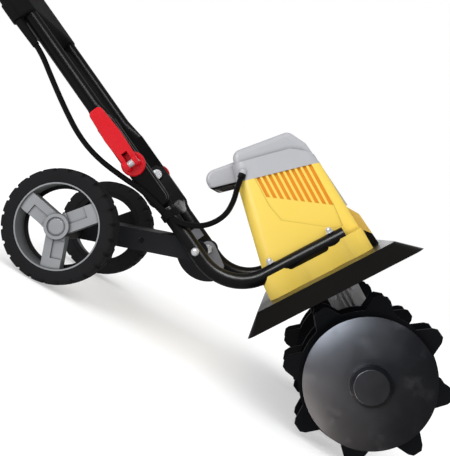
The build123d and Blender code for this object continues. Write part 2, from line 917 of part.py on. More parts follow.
def tine_star(place):
    """One star of tines on its hub."""
    with BuildPart() as star:
        cross_pin(Vector(0, 0, 0), place - tine_plate / 2, place + tine_plate / 2, tine_root)
        for i in range(tine_teeth):
            angle = radians(tine_turn + 360 * i / tine_teeth)
            bend = radians(tine_bend) * (1 if i % 2 else -1)
            out = Vector(cos(angle), 0, sin(angle))
            length = (tine_radius - tine_root + tooth_sink) / cos(bend)
            blade = Plane(
                origin=out * (tine_root - tooth_sink) + left * place,
                x_dir=out * cos(bend) + left * sin(bend),
                z_dir=left * cos(bend) - out * sin(bend),
            )
            with BuildSketch(blade):
                with BuildLine():
                    Polyline(
                        (0, -tine_foot / 2),
                        (length - tine_chamfer, -tine_tip / 2),
                        (length, -tine_tip / 2 + tine_chamfer),
                        (length, tine_tip / 2 - tine_chamfer),
                        (length - tine_chamfer, tine_tip / 2),
                        (0, tine_foot / 2),
                        close=True,
                    )
                make_face()
            extrude(amount=tine_plate / 2, both=True)
        with Locations(across(0, 0, place)):
            with PolarLocations(star_ring, star_holes):
                Cylinder(star_hole, 2 * tine_plate, mode=Mode.SUBTRACT)
        cross_pin(
            Vector(0, 0, 0), place - tine_hub_length / 2, place + tine_hub_length / 2, tine_hub_radius
        )
        cross_pin(
            Vector(0, 0, 0),
            place - tine_hub_length / 2,
            place + tine_hub_length / 2,
            tine_shaft_radius,
            mode=Mode.SUBTRACT,
        )
        away = place - tine_hub_length / 4
        upright(0, away, -tine_hub_radius, tine_hub_radius, pin_radius, mode=Mode.SUBTRACT)
    return star


for i, place in enumerate(tine_places):
    keep(f"tine_star_{i + 1}", tine_star(place))

with BuildPart() as tine_shaft:
    cross_pin(Vector(0, 0, 0), -shaft_end, shaft_end, tine_shaft_radius)
    for place in tine_places:
        away = place - tine_hub_length / 4
        upright(0, away, -tine_hub_radius, tine_hub_radius, pin_radius, mode=Mode.SUBTRACT)
keep("tine_shaft", tine_shaft)

with BuildPart() as tine_pins:
    for place in tine_places:
        away = place - tine_hub_length / 4
        upright(0, away, -tine_hub_radius - pin_proud, tine_hub_radius + pin_proud, pin_radius)
keep("tine_pins", tine_pins)

dish_from = 62.0
disc_hub = 16.0
with BuildPart() as side_disc_right:
    with BuildSketch(Plane.XY):
        with BuildLine():
            Polyline(
                (0, -disc_place - boss_height),
                (boss_radius - 4, -disc_place - boss_height),
                (boss_radius, -disc_place - boss_height + 4),
                (boss_radius, -disc_place),
                (dish_from, -disc_place),
                (disc_radius, -disc_place + disc_dish),
                (disc_radius, -disc_place + disc_dish + disc_sheet),
                (dish_from, -disc_place + disc_sheet),
                (disc_hub, -disc_place + disc_sheet),
                (disc_hub, -disc_place + 2 * disc_dish),
                (tine_shaft_radius, -disc_place + 2 * disc_dish),
                (tine_shaft_radius, -shaft_end),
                (0, -shaft_end),
                close=True,
            )
        make_face()
    revolve(axis=Axis.Y)
keep("side_disc_right", side_disc_right)
keep("side_disc_left", twin(side_disc_right))

# Lower frame tubes: bent round tube with a pressed end at the fold
press_start = press_below + 28.0
plate_outer = tube_half - body_gap / 2
plate_inner = plate_outer - press_thick
plate_middle = (plate_outer + plate_inner) / 2

with BuildPart() as lower_tube_right:
    with BuildLine() as run:
        FilletPolyline(
            (tube_front, -tube_half, tube_height),
            (tube_corner, -tube_half, tube_height),
            on_handle(-press_start, 0, -tube_half),
            radius=tube_bend,
        )
    with BuildSketch(Plane(origin=run.line @ 0, z_dir=run.line % 0)):
        Circle(tube_radius)
        Circle(tube_radius - tube_wall, mode=Mode.SUBTRACT)
    sweep()
    with BuildSketch(handle_cut(-press_start, 0, -tube_half)):
        Circle(tube_radius)
    with BuildSketch(handle_cut(-press_start + press_taper, 0, -plate_middle)):
        Ellipse(press_width / 2, press_thick / 2)
    loft()
    with BuildSketch(handle_side(-plate_outer)):
        with Locations((-press_below / 2, 0)):
            SlotCenterToCenter(press_below, press_width)
    extrude(amount=press_thick)
    with BuildSketch(handle_side(-plate_outer)):
        with Locations(((press_width - press_start + 1) / 2, 0)):
            Rectangle(press_start + press_width - 1, 2 * press_width)
    extrude(amount=-2 * tube_radius, mode=Mode.SUBTRACT)
    cross_pin(fold, -plate_outer, -plate_inner, cam_bolt_radius + bolt_gap, mode=Mode.SUBTRACT)
    cross_pin(
        pivot,
        -tube_half - tube_radius,
        -tube_half + tube_radius,
        pivot_radius + bolt_gap,
        mode=Mode.SUBTRACT,
    )
    for x in tube_bolt_places:
        upright(
            x,
            -tube_half,
            tube_height - tube_radius,
            tube_height + tube_radius,
            cam_bolt_radius + bolt_gap,
            mode=Mode.SUBTRACT,
        )
keep("lower_tube_right", lower_tube_right)
keep("lower_tube_left", twin(lower_tube_right))

# Frame bolts: two through each tube into the ledge, one through each arm pivot
washer_radius = 6.5
washer_sheet = 1.5
dome_radius = 4.5
dome_height = 7.0
dome_round = 4.0
pivot_head = 5.8
pivot_head_height = 4.5
pivot_nut = 7.5
nut_height = 7.0
strap_inner = arm_place - 9.0
quadrant_inner = strap_inner + arm_sheet
nut_faces = (-arm_place + overlap, strap_inner)

with BuildPart() as frame_bolts:
    crown = tube_height + tube_radius
    shank_foot = crown + overlap - tube_bolt_depth - tube_radius
    for way in (-1, 1):
        for x in tube_bolt_places:
            upright(x, way * tube_half, shank_foot, crown, cam_bolt_radius)
            upright(x, way * tube_half, crown, crown + washer_sheet, washer_radius)
            upright(
                x, way * tube_half, crown + washer_sheet, crown + washer_sheet + dome_height, dome_radius
            )
    fillet(frame_bolts.edges().filter_by(GeomType.CIRCLE).group_by(Axis.Z)[-1], dome_round)
    for way, face in zip((-1, 1), nut_faces):
        outside = way * (tube_half + tube_radius)
        cross_pin(pivot, face - way * nut_height, outside, pivot_radius)
        cross_pin(pivot, outside, outside + way * pivot_head_height, pivot_head)
        with BuildSketch(across(pivot.X, pivot.Z, face)):
            RegularPolygon(pivot_nut, 6)
        extrude(amount=-way * nut_height)
    heads = frame_bolts.edges().filter_by(GeomType.CIRCLE).group_by(Axis.Y)
    fillet(heads[0] + heads[-1], dome_round)
keep("frame_bolts", frame_bolts)

# Height lock: a quadrant plate on the left tube with two zinc pieces that hold it
strap_head = 12.5
strap_tail = 6.0
post_below = 34.0
post_above = 31.0
strap_post = (8.0, 8.0)
lug_size = (18.0, 14.0)
quadrant_margins = (17.4, 21.6)
quadrant_from = arm_angle - quadrant_margins[0]
quadrant_sweep = arm_swing + sum(quadrant_margins)
quadrant_hub = 14.0
quadrant_outer = quadrant_inner + quadrant_sheet
strap_plane = Plane(origin=pivot + left * strap_inner, x_dir=along, z_dir=left)

with BuildPart() as pivot_strap:
    with BuildSketch(strap_plane):
        Circle(strap_head)
        with Locations((-post_below, 0)):
            Circle(strap_tail)
        make_hull()
        with Locations((post_above, 0)):
            Rectangle(*lug_size)
        Circle(pivot_radius + bolt_gap, mode=Mode.SUBTRACT)
    extrude(amount=arm_sheet)
    with BuildSketch(strap_plane):
        with Locations((-post_below, 0), (post_above, 0)):
            Rectangle(*strap_post)
    extrude(amount=tube_half - tube_radius - strap_inner)
keep("pivot_strap", pivot_strap)

with BuildPart() as quadrant_plate:
    with BuildSketch(Plane(origin=pivot + left * quadrant_outer, x_dir=(1, 0, 0), z_dir=(0, -1, 0))):
        with BuildLine():
            rim_arc = CenterArc((0, 0), quadrant_radius, quadrant_from, quadrant_sweep)
            Line(rim_arc @ 1, (0, 0))
            Line((0, 0), rim_arc @ 0)
        make_face()
        Circle(quadrant_hub)
        Circle(pivot_radius + bolt_gap, mode=Mode.SUBTRACT)
    extrude(amount=quadrant_sheet)
keep("quadrant_plate", quadrant_plate)

# Wheel bracket: two arms joined by a web, swinging on the pivot bolts
arm_up = Vector(sin(radians(arm_angle)), 0, -cos(radians(arm_angle)))
arm_outer = arm_place + arm_sheet
web_from = 60.0
web_to = 150.0
clamp_point = pivot + arm_way * clamp_reach
weld_nut = 8.0
weld_nut_height = 2.4
hole_point = pivot + arm_way * arm_hole_reach

with BuildPart() as wheel_bracket:
    middle = pivot + arm_way * arm_length / 2
    for y in (-arm_outer, arm_place):
        with BuildSketch(Plane(origin=middle + left * y, x_dir=arm_way, z_dir=left)):
            SlotCenterToCenter(arm_length, arm_height)
        extrude(amount=arm_sheet)
    web_middle = pivot + arm_way * (web_from + web_to) / 2 + arm_up * (arm_height - arm_sheet) / 2
    with Locations(Plane(origin=web_middle, x_dir=arm_way, z_dir=arm_up)):
        Box(web_to - web_from, 2 * arm_place, arm_sheet)
    cross_pin(pivot, -arm_outer, arm_outer, pivot_radius + bolt_gap, mode=Mode.SUBTRACT)
    cross_pin(axle, -arm_outer, arm_outer, axle_radius, mode=Mode.SUBTRACT)
    cross_pin(hole_point, -arm_outer, arm_outer, arm_hole_radius, mode=Mode.SUBTRACT)
    cross_pin(clamp_point, arm_place - weld_nut_height, arm_place, weld_nut)
    cross_pin(clamp_point, 0, arm_outer, clamp_radius + bolt_gap, mode=Mode.SUBTRACT)
keep("wheel_bracket", wheel_bracket)

clamp_head = 7.0
knob_foot = arm_outer + body_gap
knob_stem = 3.0
knob_height = 14.0
knob_core = 11.0
knob_lobes = 5
knob_soft = 2.0
with BuildPart() as clamp_knob:
    cross_pin(clamp_point, quadrant_outer + bolt_gap, knob_foot + knob_stem, clamp_radius)
    cross_pin(clamp_point, knob_foot, knob_foot + knob_stem, clamp_head)
    with BuildSketch(across(clamp_point.X, clamp_point.Z, knob_foot + knob_stem)):
        Circle(knob_core)
        with PolarLocations(clamp_knob_radius - knob_core / 2, knob_lobes):
            Circle(knob_core / 2)
    extrude(amount=knob_height)
    fillet(clamp_knob.edges().group_by(Axis.Y)[-1], knob_soft)
keep("clamp_knob", clamp_knob)

# Wheels on their axle
rim_outer = wheel_outer - 2.0
rim_inner = wheel_outer - wheel_width + 2.0
hub_end = arm_outer + 1.0
pocket_floor = wheel_outer - 12.0
nut_thick = 6.0
nut_play = 2.0
axle_end = pocket_floor + body_gap + nut_thick + 1.0
spoke_depth = 18.0
panel_size = (26.0, 16.0, 2.0)
panel_reach = hub_radius + panel_size[0] / 2
panel_shift = (panel_size[1] - spoke_width) / 2
ring_groove = 1.7
web_sheet = 3.0
groove_length = 14.0
shoulder = 4.0
tread_edge = 10.0

with BuildPart() as wheel_axle:
    cross_pin(axle, -axle_end, axle_end, axle_radius)
keep("wheel_axle", wheel_axle)

with BuildPart() as axle_nuts:
    for way in (-1, 1):
        face = way * (pocket_floor + body_gap)
        with BuildSketch(across(axle.X, axle.Z, face)):
            RegularPolygon(cap_radius - nut_play, 6)
            Circle(axle_radius, mode=Mode.SUBTRACT)
        extrude(amount=way * nut_thick)
keep("axle_nuts", axle_nuts)

with BuildPart() as tyre_right:
    tyre_inner = wheel_outer - wheel_width
    with BuildSketch(Plane(origin=axle, x_dir=(1, 0, 0), z_dir=(0, 0, 1))):
        with BuildLine():
            Polyline(
                (rim_radius, -rim_outer),
                (wheel_radius - tread_edge, -wheel_outer),
                (wheel_radius - shoulder, -wheel_outer + shoulder),
                (wheel_radius, -wheel_outer + tread_edge),
                (wheel_radius, -tyre_inner - tread_edge),
                (wheel_radius - shoulder, -tyre_inner - shoulder),
                (wheel_radius - tread_edge, -tyre_inner),
                (rim_radius, -rim_inner),
                close=True,
            )
        make_face()
    revolve(axis=Axis(axle, (0, 1, 0)))
    for y, turn in ((-wheel_outer, 0.0), (-tyre_inner, 0.5)):
        with Locations(across(axle.X, axle.Z, y)):
            with PolarLocations(wheel_radius, lug_count, start_angle=turn * 360 / lug_count):
                Box(2 * lug_depth, lug_groove, 2 * groove_length, mode=Mode.SUBTRACT)
keep("tyre_right", tyre_right)
keep("tyre_left", twin(tyre_right))

with BuildPart() as wheel_rim_right:
    cross_pin(axle, -rim_outer, -rim_inner, rim_radius, rim_radius - rim_wall)
    cross_pin(axle, -rim_inner - web_sheet, -rim_inner, rim_radius, rim_radius - rim_lip)
    cross_pin(axle, -wheel_outer, -hub_end, hub_radius)
    spoke_reach = rim_radius - rim_wall
    spoke_face = -rim_outer + spoke_drop
    with Locations(across(axle.X, axle.Z, spoke_face + spoke_depth / 2)):
        with PolarLocations(spoke_reach / 2, 3, start_angle=-spoke_turn):
            Box(spoke_reach, spoke_width, spoke_depth)
    with Locations(across(axle.X, axle.Z, spoke_face + panel_size[2] / 2)):
        with PolarLocations(panel_reach, 3, start_angle=-spoke_turn):
            with Locations((0, panel_shift)):
                Box(*panel_size, mode=Mode.SUBTRACT)
    cross_pin(axle, -wheel_outer, -rim_outer, cap_radius + ring_groove, mode=Mode.SUBTRACT)
    cross_pin(axle, -wheel_outer, -pocket_floor, cap_radius, mode=Mode.SUBTRACT)
    cross_pin(axle, -wheel_outer, -hub_end, axle_radius + running_gap, mode=Mode.SUBTRACT)
keep("wheel_rim_right", wheel_rim_right)
keep("wheel_rim_left", twin(wheel_rim_right))

cap_thick = 4.0
cap_chamfer = 1.5
with BuildPart() as hubcap_right:
    cross_pin(axle, -rim_outer - cap_thick / 2, -rim_outer + cap_thick / 2, cap_radius)
    chamfer(hubcap_right.edges().group_by(Axis.Y)[0], cap_chamfer)
keep("hubcap_right", hubcap_right)
keep("hubcap_left", twin(hubcap_right))

# Upper handle: one bent tube whose pressed ends lie outside the lower tubes
spoon_inner = tube_half + body_gap / 2
spoon_outer = spoon_inner + spoon_thick
spoon_middle = (spoon_inner + spoon_outer) / 2
spoon_soft = 4.5
spoon_step = 0.3

with BuildPart() as upper_handle:
    with BuildSketch(handle_side(-spoon_outer)):
        with Locations(((spoon_above - spoon_below) / 2, 0)):
            Rectangle(spoon_above + spoon_below, press_width)
        with Locations((-spoon_below, 0)):
            Circle(press_width / 2)
    extrude(amount=spoon_thick)
    outer_edges = upper_handle.faces().sort_by(Axis.Y)[0].edges()
    fillet(outer_edges.sort_by(Axis(fold, along))[:-1], spoon_soft)
    with BuildSketch(handle_cut(spoon_above, 0, -spoon_middle)):
        Ellipse(press_width / 2 - spoon_step, spoon_thick / 2 - spoon_step)
    with BuildSketch(handle_cut(spoon_above + spoon_taper, 0, -tube_half)):
        Circle(tube_radius)
    loft()
    mirror(about=Plane.XZ)
    with BuildLine() as frame:
        FilletPolyline(
            on_handle(spoon_above + spoon_taper, 0, -tube_half),
            on_handle(flare_start, 0, -tube_half),
            on_handle(flare_end, 0, -flare_half),
            on_handle(handle_length, 0, -flare_half),
            on_handle(handle_length, 0, flare_half),
            on_handle(flare_end, 0, flare_half),
            on_handle(flare_start, 0, tube_half),
            on_handle(spoon_above + spoon_taper, 0, tube_half),
            radius=handle_round,
        )
    with BuildSketch(Plane(origin=frame.line @ 0, z_dir=frame.line % 0)):
        Circle(tube_radius)
        Circle(tube_radius - tube_wall, mode=Mode.SUBTRACT)
    sweep()
    cross_pin(fold, -spoon_outer, spoon_outer, cam_bolt_radius + bolt_gap, mode=Mode.SUBTRACT)
keep("upper_handle", upper_handle)

with BuildPart() as foam_grip:
    middle = on_handle(handle_length)
    cross_pin(middle, -grip_length / 2, grip_length / 2, grip_radius, tube_radius)
    fillet(
        foam_grip.edges().filter_by(GeomType.CIRCLE).filter_by(lambda e: e.radius > tube_radius + 1), 3
    )
keep("foam_grip", foam_grip)

# Quick-release cams at the fold: bolt and barrel, cup washer and lever
cam_play = 0.5
cam_place = spoon_outer + cup_height + cam_play + cam_radius
cam_head = 8.0
cam_head_height = 4.0
lever_outer = cam_place + 2.0
fork_depth = 18.0
lever_soft = 2.5

with BuildPart() as cam_bolts:
    for way in (-1, 1):
        cross_pin(fold, way * plate_inner, way * cam_place, cam_bolt_radius)
        cross_pin(fold, way * (plate_inner - cam_head_height), way * plate_inner, cam_head)
        barrel = Plane(origin=on_handle(0, -fork_half, way * cam_place), x_dir=along, z_dir=ahead)
        with BuildSketch(barrel):
            Circle(barrel_radius)
        extrude(amount=2 * fork_half)
keep("cam_bolts", cam_bolts)

with BuildPart() as cup_washers:
    for way in (-1, 1):
        cross_pin(fold, way * spoon_outer, way * (spoon_outer + cup_height), cup_radius, cam_bolt_radius)
    rims = cup_washers.edges().group_by(Axis.Y)
    outer_rims = (rims[0] + rims[-1]).filter_by(lambda e: e.radius > cam_radius)
    fillet(outer_rims, cup_height / 2)
keep("cup_washers", cup_washers)

with BuildPart() as cam_lever_right:
    with BuildSketch(handle_side(-lever_outer)) as outline:
        with BuildLine():
            Polyline(
                (0, -fork_half),
                (lever_length / 2, -lever_half),
                (lever_length, -lever_half + 3),
                (lever_length, lever_half - 3),
                (lever_length / 2, lever_half),
                (0, fork_half),
                close=True,
            )
        make_face()
        fillet(outline.vertices().group_by(Axis.X)[-1], lever_half / 2)
    extrude(amount=lever_thick)
    fillet(cam_lever_right.faces().sort_by(Axis.Y)[0].edges().sort_by(Axis(fold, along))[1:], lever_soft)
    with BuildSketch(Plane(origin=on_handle(0, -fork_half, -cam_place), x_dir=along, z_dir=ahead)):
        Circle(cam_radius)
    extrude(amount=2 * fork_half)
    with BuildSketch(handle_side(-lever_outer - cam_radius)):
        with Locations(((fork_depth - 2 * cam_radius) / 2, 0)):
            Rectangle(fork_depth + 2 * cam_radius, fork_slot)
    extrude(amount=4 * cam_radius, mode=Mode.SUBTRACT)
    with BuildSketch(Plane(origin=on_handle(0, -fork_half, -cam_place), x_dir=along, z_dir=ahead)):
        Circle(barrel_radius + running_gap)
    extrude(amount=2 * fork_half, mode=Mode.SUBTRACT)
keep("cam_lever_right", cam_lever_right)
keep("cam_lever_left", twin(cam_lever_right))

# Console across the handle tubes, in two shells, with its switch and controls
console_round = 14.0
console_soft = 4.0
cavity_half = tube_half - tube_radius - 6.0
button_rise = 5.0
button_flange = 12.0
flange_sheet = 3.0
ear_inner = 64.0
ear_sheet = 8.0
ear_radius = 9.0
bail_reach = console_start + console_length + 8.0
bail_lift = 13.0
bail_bends = (6.0, 20.0, 20.0, 6.0)
inlet_side = 35.0
inlet_size = (32.0, 24.0)
inlet_margin = 12.0
inlet_gap = 4.0
inlet_out = 12.0
inlet_in = 14.0
inlet_wall = 2.5
gland_drop = 16.0
gland_side = 97.0
gland_length = 44.0
gland_boss = gland_radius + 2.5
boss_length = 30.0
switch_size = (40.0, 56.0)
switch_top = 2.0
switch_soft = 2.0
button_foot = button_travel - switch_top + overlap
button_soft = 2.0
inlet_reach = console_start + console_length - inlet_margin - inlet_size[0] / 2
button_reach = inlet_reach - inlet_size[0] / 2 - inlet_gap - switch_size[0] / 2
console_middle = (console_ahead - console_back) / 2
console_thick = console_ahead + console_back

with BuildPart() as console:
    with BuildSketch(handle_cut(console_start, console_middle)):
        RectangleRounded(console_thick, 2 * console_half, console_round)
    extrude(amount=console_length)
    ends = console.faces().filter_by(Axis((0, 0, 0), along)).edges()
    fillet(ends, console_soft)
    with BuildSketch(handle_cut(console_start, -gland_drop, -gland_side)):
        Circle(gland_boss)
    extrude(amount=boss_length)
    for way in (-1, 1):
        y = -ear_inner - ear_sheet if way < 0 else ear_inner
        with BuildSketch(handle_side(y)):
            with Locations((bail_reach, bail_lift)):
                Circle(ear_radius)
            with Locations((bail_reach - ear_radius, bail_lift)):
                Rectangle(2 * ear_radius, 2 * ear_radius)
        extrude(amount=ear_sheet)
    with BuildSketch(handle_cut(console_start - boss_length)):
        with GridLocations(0, tube_spacing, 1, 2):
            Circle(tube_radius)
    extrude(amount=console_length + 3 * boss_length, mode=Mode.SUBTRACT)
    with BuildSketch(handle_cut(console_start + console_wall, console_middle)):
        Rectangle(console_thick - 2 * console_wall, 2 * cavity_half)
    extrude(amount=console_length - 2 * console_wall, mode=Mode.SUBTRACT)
    with BuildSketch(handle_face(0)):
        with Locations((button_reach, 0)):
            Circle(button_radius + body_gap)
    extrude(amount=2 * console_ahead, mode=Mode.SUBTRACT)
    with BuildSketch(handle_face(0)):
        with Locations((inlet_reach, -inlet_side)):
            Rectangle(*inlet_size)
    extrude(amount=-2 * console_back, mode=Mode.SUBTRACT)
    cross_pin(
        on_handle(bail_reach, bail_lift),
        -ear_inner - ear_sheet,
        ear_inner + ear_sheet,
        bail_radius + running_gap,
        mode=Mode.SUBTRACT,
    )
for name, half in (("console_front", Keep.TOP), ("console_rear", Keep.BOTTOM)):
    with BuildPart() as console_half_part:
        add(console.part)
        split(bisect_by=handle_face(0), keep=half)
    keep(name, console_half_part)

with BuildPart() as switch_module:
    with BuildSketch(handle_face(-console_back + console_wall)):
        with Locations((button_reach, 0)):
            Rectangle(*switch_size)
    extrude(amount=console_back - console_wall - switch_top)
    fillet(switch_module.edges(), switch_soft)
keep("switch_module", switch_module)

with BuildPart() as lock_button:
    with BuildSketch(handle_face(button_foot)):
        with Locations((button_reach, 0)):
            Circle(button_radius)
    extrude(amount=console_ahead + button_rise - button_foot)
    fillet(lock_button.edges().sort_by(Axis(fold, ahead))[-1], button_soft)
    with BuildSketch(handle_face(console_ahead - console_wall - flange_sheet - body_gap)):
        with Locations((button_reach, 0)):
            Circle(button_flange)
    extrude(amount=flange_sheet)
keep("lock_button", lock_button)

with BuildPart() as mains_inlet:
    with BuildSketch(handle_face(-console_back - inlet_out)):
        with Locations((inlet_reach, -inlet_side)):
            Rectangle(*inlet_size)
    extrude(amount=inlet_out + inlet_in)
    with BuildSketch(handle_face(-console_back - inlet_out)):
        with Locations((inlet_reach, -inlet_side)):
            Rectangle(inlet_size[0] - 2 * inlet_wall, inlet_size[1] - 2 * inlet_wall)
    extrude(amount=inlet_out + inlet_in - 2 * inlet_wall, mode=Mode.SUBTRACT)
    with BuildSketch(handle_face(-console_back - inlet_out + inlet_wall)):
        with Locations((inlet_reach, -inlet_side)):
            with GridLocations(inlet_size[0] / 2, 0, 2, 1):
                Circle(inlet_wall)
    extrude(amount=inlet_out + inlet_in - 2 * inlet_wall)
keep("mains_inlet", mains_inlet)

with BuildPart() as bail_lever:
    tilt = radians(bail_tilt)
    bail_up = along * cos(tilt) + ahead * sin(tilt)
    foot = on_handle(bail_reach, bail_lift)
    bar = foot + bail_up * bail_length
    with BuildLine() as rod:
        FilletPolyline(
            foot - left * (ear_inner + ear_sheet),
            foot - left * bail_half,
            bar - left * bail_half,
            bar + left * bail_half,
            foot + left * bail_half,
            foot + left * (ear_inner + ear_sheet),
            radius=bail_bends,
        )
    with BuildSketch(Plane(origin=rod.line @ 0, z_dir=rod.line % 0)):
        Circle(bail_radius)
    sweep()
keep("bail_lever", bail_lever)

# Motor cable: from the console gland down the right tube and across to the hood
with BuildPart() as cable_gland:
    with BuildSketch(handle_cut(console_start, -gland_drop, -gland_side)):
        Circle(gland_radius)
    with BuildSketch(handle_cut(console_start - gland_length, -gland_drop, -gland_side)):
        Circle(cable_radius + 1)
    loft()
keep("cable_gland", cable_gland)

# Places of the cable: reach up the handle, lift ahead of it, Y; then points of the machine
cable_places = (
    (console_start - gland_length, -gland_drop, -gland_side),
    (206, -gland_drop, -gland_side),
    (168, -26, -92.5),
    (125, -35, -91),
    (80, -41, -93),
    (38, -37, -97),
    (-4, -23.5, -101),
    (-42, -9, -101.5),
    (-87, -1.5, -101.2),
    (-113, 10.5, -97.8),
)
cable_rise = ((-98, -88, 277.5), (-69, -79, 278), (-48, -74, 292), (-36, -71.5, 306))
bend_share = 0.45
cable_points = [on_handle(*place) for place in cable_places]
cable_points += [Vector(*place) for place in cable_rise]
cable_points.append(cable_end - entry_way * running_gap)
cable_radii = []
for before, here, after in zip(cable_points, cable_points[1:], cable_points[2:]):
    turn = radians((here - before).get_angle(after - here))
    shorter = min((here - before).length, (after - here).length)
    cable_radii.append(bend_share * shorter / tan(turn / 2))
print("cable bend radii", [round(radius) for radius in cable_radii])

with BuildPart() as motor_cable:
    with BuildLine() as lead_line:
        FilletPolyline(*cable_points, radius=cable_radii)
    with BuildSketch(Plane(origin=lead_line.line @ 0, z_dir=lead_line.line % 0)):
        Circle(cable_radius)
    sweep()
cable_length = sum(edge.length for edge in lead_line.edges())
cable_fill = motor_cable.part.volume / (pi * cable_radius**2 * cable_length)
print("cable length", round(cable_length, 1), "volume over section times length", round(cable_fill, 4))
keep("motor_cable", motor_cable)

clip_reach, clip_lift, clip_y = cable_places[8]
clip_width = 10.0
clip_wall = 2.5
with BuildPart() as cable_clip:
    with BuildSketch(handle_cut(clip_reach - clip_width / 2, 0, -tube_half)):
        Circle(tube_radius + clip_wall)
        with Locations((clip_lift, tube_half + clip_y)):
            Circle(cable_radius + clip_wall)
        Circle(tube_radius, mode=Mode.SUBTRACT)
        with Locations((clip_lift, tube_half + clip_y)):
            Circle(cable_radius, mode=Mode.SUBTRACT)
    extrude(amount=clip_width)
    add(motor_cable.part, mode=Mode.SUBTRACT)
keep("cable_clip", cable_clip)

# The machine is tipped back until the raised wheels and the tines stand on the floor
reach = hypot(axle.X, axle.Z)
stand = tine_radius
for step in range(4):
    sink = degrees(asin((stand - wheel_radius) / reach))
    park_tilt = 180 + sink - degrees(atan2(axle.Z, axle.X))
    lean = Location((0, 0, 0), (0, -park_tilt, 0))
    stand = -pieces["tine_star_1"].moved(lean).bounding_box().min.Z
tipped = {name: piece.moved(lean) for name, piece in pieces.items()}
boxes = [piece.bounding_box() for piece in tipped.values()]
low = [min(tuple(box.min)[i] for box in boxes) for i in range(3)]
high = [max(tuple(box.max)[i] for box in boxes) for i in range(3)]
shift = (-(low[0] + high[0]) / 2, -(low[1] + high[1]) / 2, -low[2])
print("tilt", park_tilt, "shift", shift)
print("size", [round(high[i] - low[i], 2) for i in range(3)])

os.makedirs("parts", exist_ok=True)
for name, piece in tipped.items():
    placed = piece.moved(Location(shift))
    placed.label = name
    export_step(placed, f"parts/{name}.step")
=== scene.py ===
import bpy
import bmesh
import json
import numpy as np
from math import cos, radians, sin, tau
from mathutils import Matrix, Vector


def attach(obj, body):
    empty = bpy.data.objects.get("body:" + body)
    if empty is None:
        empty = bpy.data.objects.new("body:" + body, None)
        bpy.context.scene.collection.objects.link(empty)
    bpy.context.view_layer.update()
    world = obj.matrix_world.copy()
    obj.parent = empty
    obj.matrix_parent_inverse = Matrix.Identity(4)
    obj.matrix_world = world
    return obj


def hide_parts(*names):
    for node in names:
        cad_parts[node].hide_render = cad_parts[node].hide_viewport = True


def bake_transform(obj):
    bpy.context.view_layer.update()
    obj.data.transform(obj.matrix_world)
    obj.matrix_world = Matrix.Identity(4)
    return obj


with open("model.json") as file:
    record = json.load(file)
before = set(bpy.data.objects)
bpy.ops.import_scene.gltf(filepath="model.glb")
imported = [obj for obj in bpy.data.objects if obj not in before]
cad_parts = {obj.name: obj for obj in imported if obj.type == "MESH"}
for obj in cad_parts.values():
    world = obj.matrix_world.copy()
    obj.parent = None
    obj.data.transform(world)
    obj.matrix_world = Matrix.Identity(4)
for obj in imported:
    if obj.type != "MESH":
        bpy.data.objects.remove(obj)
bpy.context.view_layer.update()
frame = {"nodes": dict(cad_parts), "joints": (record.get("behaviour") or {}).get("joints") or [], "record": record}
nodes = frame["nodes"]
bodies = frame["record"]["behaviour"]["bodies"]
bodyOf = {node: body for body, members in bodies.items() for node in members}
slotOf = {part["node"]: part["material_slot"] for part in frame["record"]["subparts"]}
joints = {joint["name"]: joint for joint in frame["joints"]}
wheelSides = {"right": -1, "left": 1}  # the way each wheel lies from the centre plane
print("frame loaded:", len(nodes), "nodes")

# the level machine's axes and the handle's axes, as they stand in the parked frame
tineCentre = np.array(joints["tine_spin"]["pos_m"])
machineUp = np.array(joints["armature_spin"]["axis"])
machineAhead = np.array([machineUp[2], 0.0, -machineUp[0]])
foldCentre = np.array(joints["handle_fold"]["pos_m"])
handleAhead = np.array(joints["cam_lever_right"]["axis"])
handleAlong = np.array([-handleAhead[2], 0.0, handleAhead[0]])
leftWay = np.array([0.0, 1.0, 0.0])


# a place given in the level machine's millimetres
def onMachine(x, y, z):
    return tineCentre + (machineAhead * x + leftWay * y + machineUp * z) / 1000


# the other way round: points' places ahead, to the left and up, in the level machine's millimetres
def machinePlaces(points):
    offset = (points - tineCentre) * 1000
    return offset @ machineAhead, offset[:, 1], offset @ machineUp


# a place by its reach up the handle, its lift ahead of it and its side, in millimetres
def onHandle(reach, lift, side):
    return foldCentre + (handleAlong * reach + handleAhead * lift + leftWay * side) / 1000


# rows of vectors, each made one long
def unit(vectors):
    return vectors / np.linalg.norm(vectors, axis=-1, keepdims=True)


# 0 up to a start, 1 past its rise, and straight between them
def ramp(values, start, rise):
    return np.clip((values - start) / rise, 0, 1)


def between(values, span):
    return (values > span[0]) & (values < span[1])


def addObject(name, data):
    added = bpy.data.objects.new(name, data)
    bpy.context.scene.collection.objects.link(added)
    return added


# the matrix of an object at a place, from the ways that its own three axes point
def standing(place, *ways):
    turn = Matrix([list(row) for row in np.column_stack(ways)])
    return Matrix.Translation(Vector(place)) @ turn.to_4x4()


# camera as solved from the wheels, tubes and guard edges of the photograph: focal length and frame
# in pixels, place in the level machine's millimetres, angles in degrees
photoView = {"focal": 686.0, "frameHeight": 456.0, "place": (-0.2, -1041.0, 216.8), "roll": 27.8,
             "yaw": 5.33, "pitch": 0.33, "sensor": 36.0, "clip": (0.05, 60.0)}


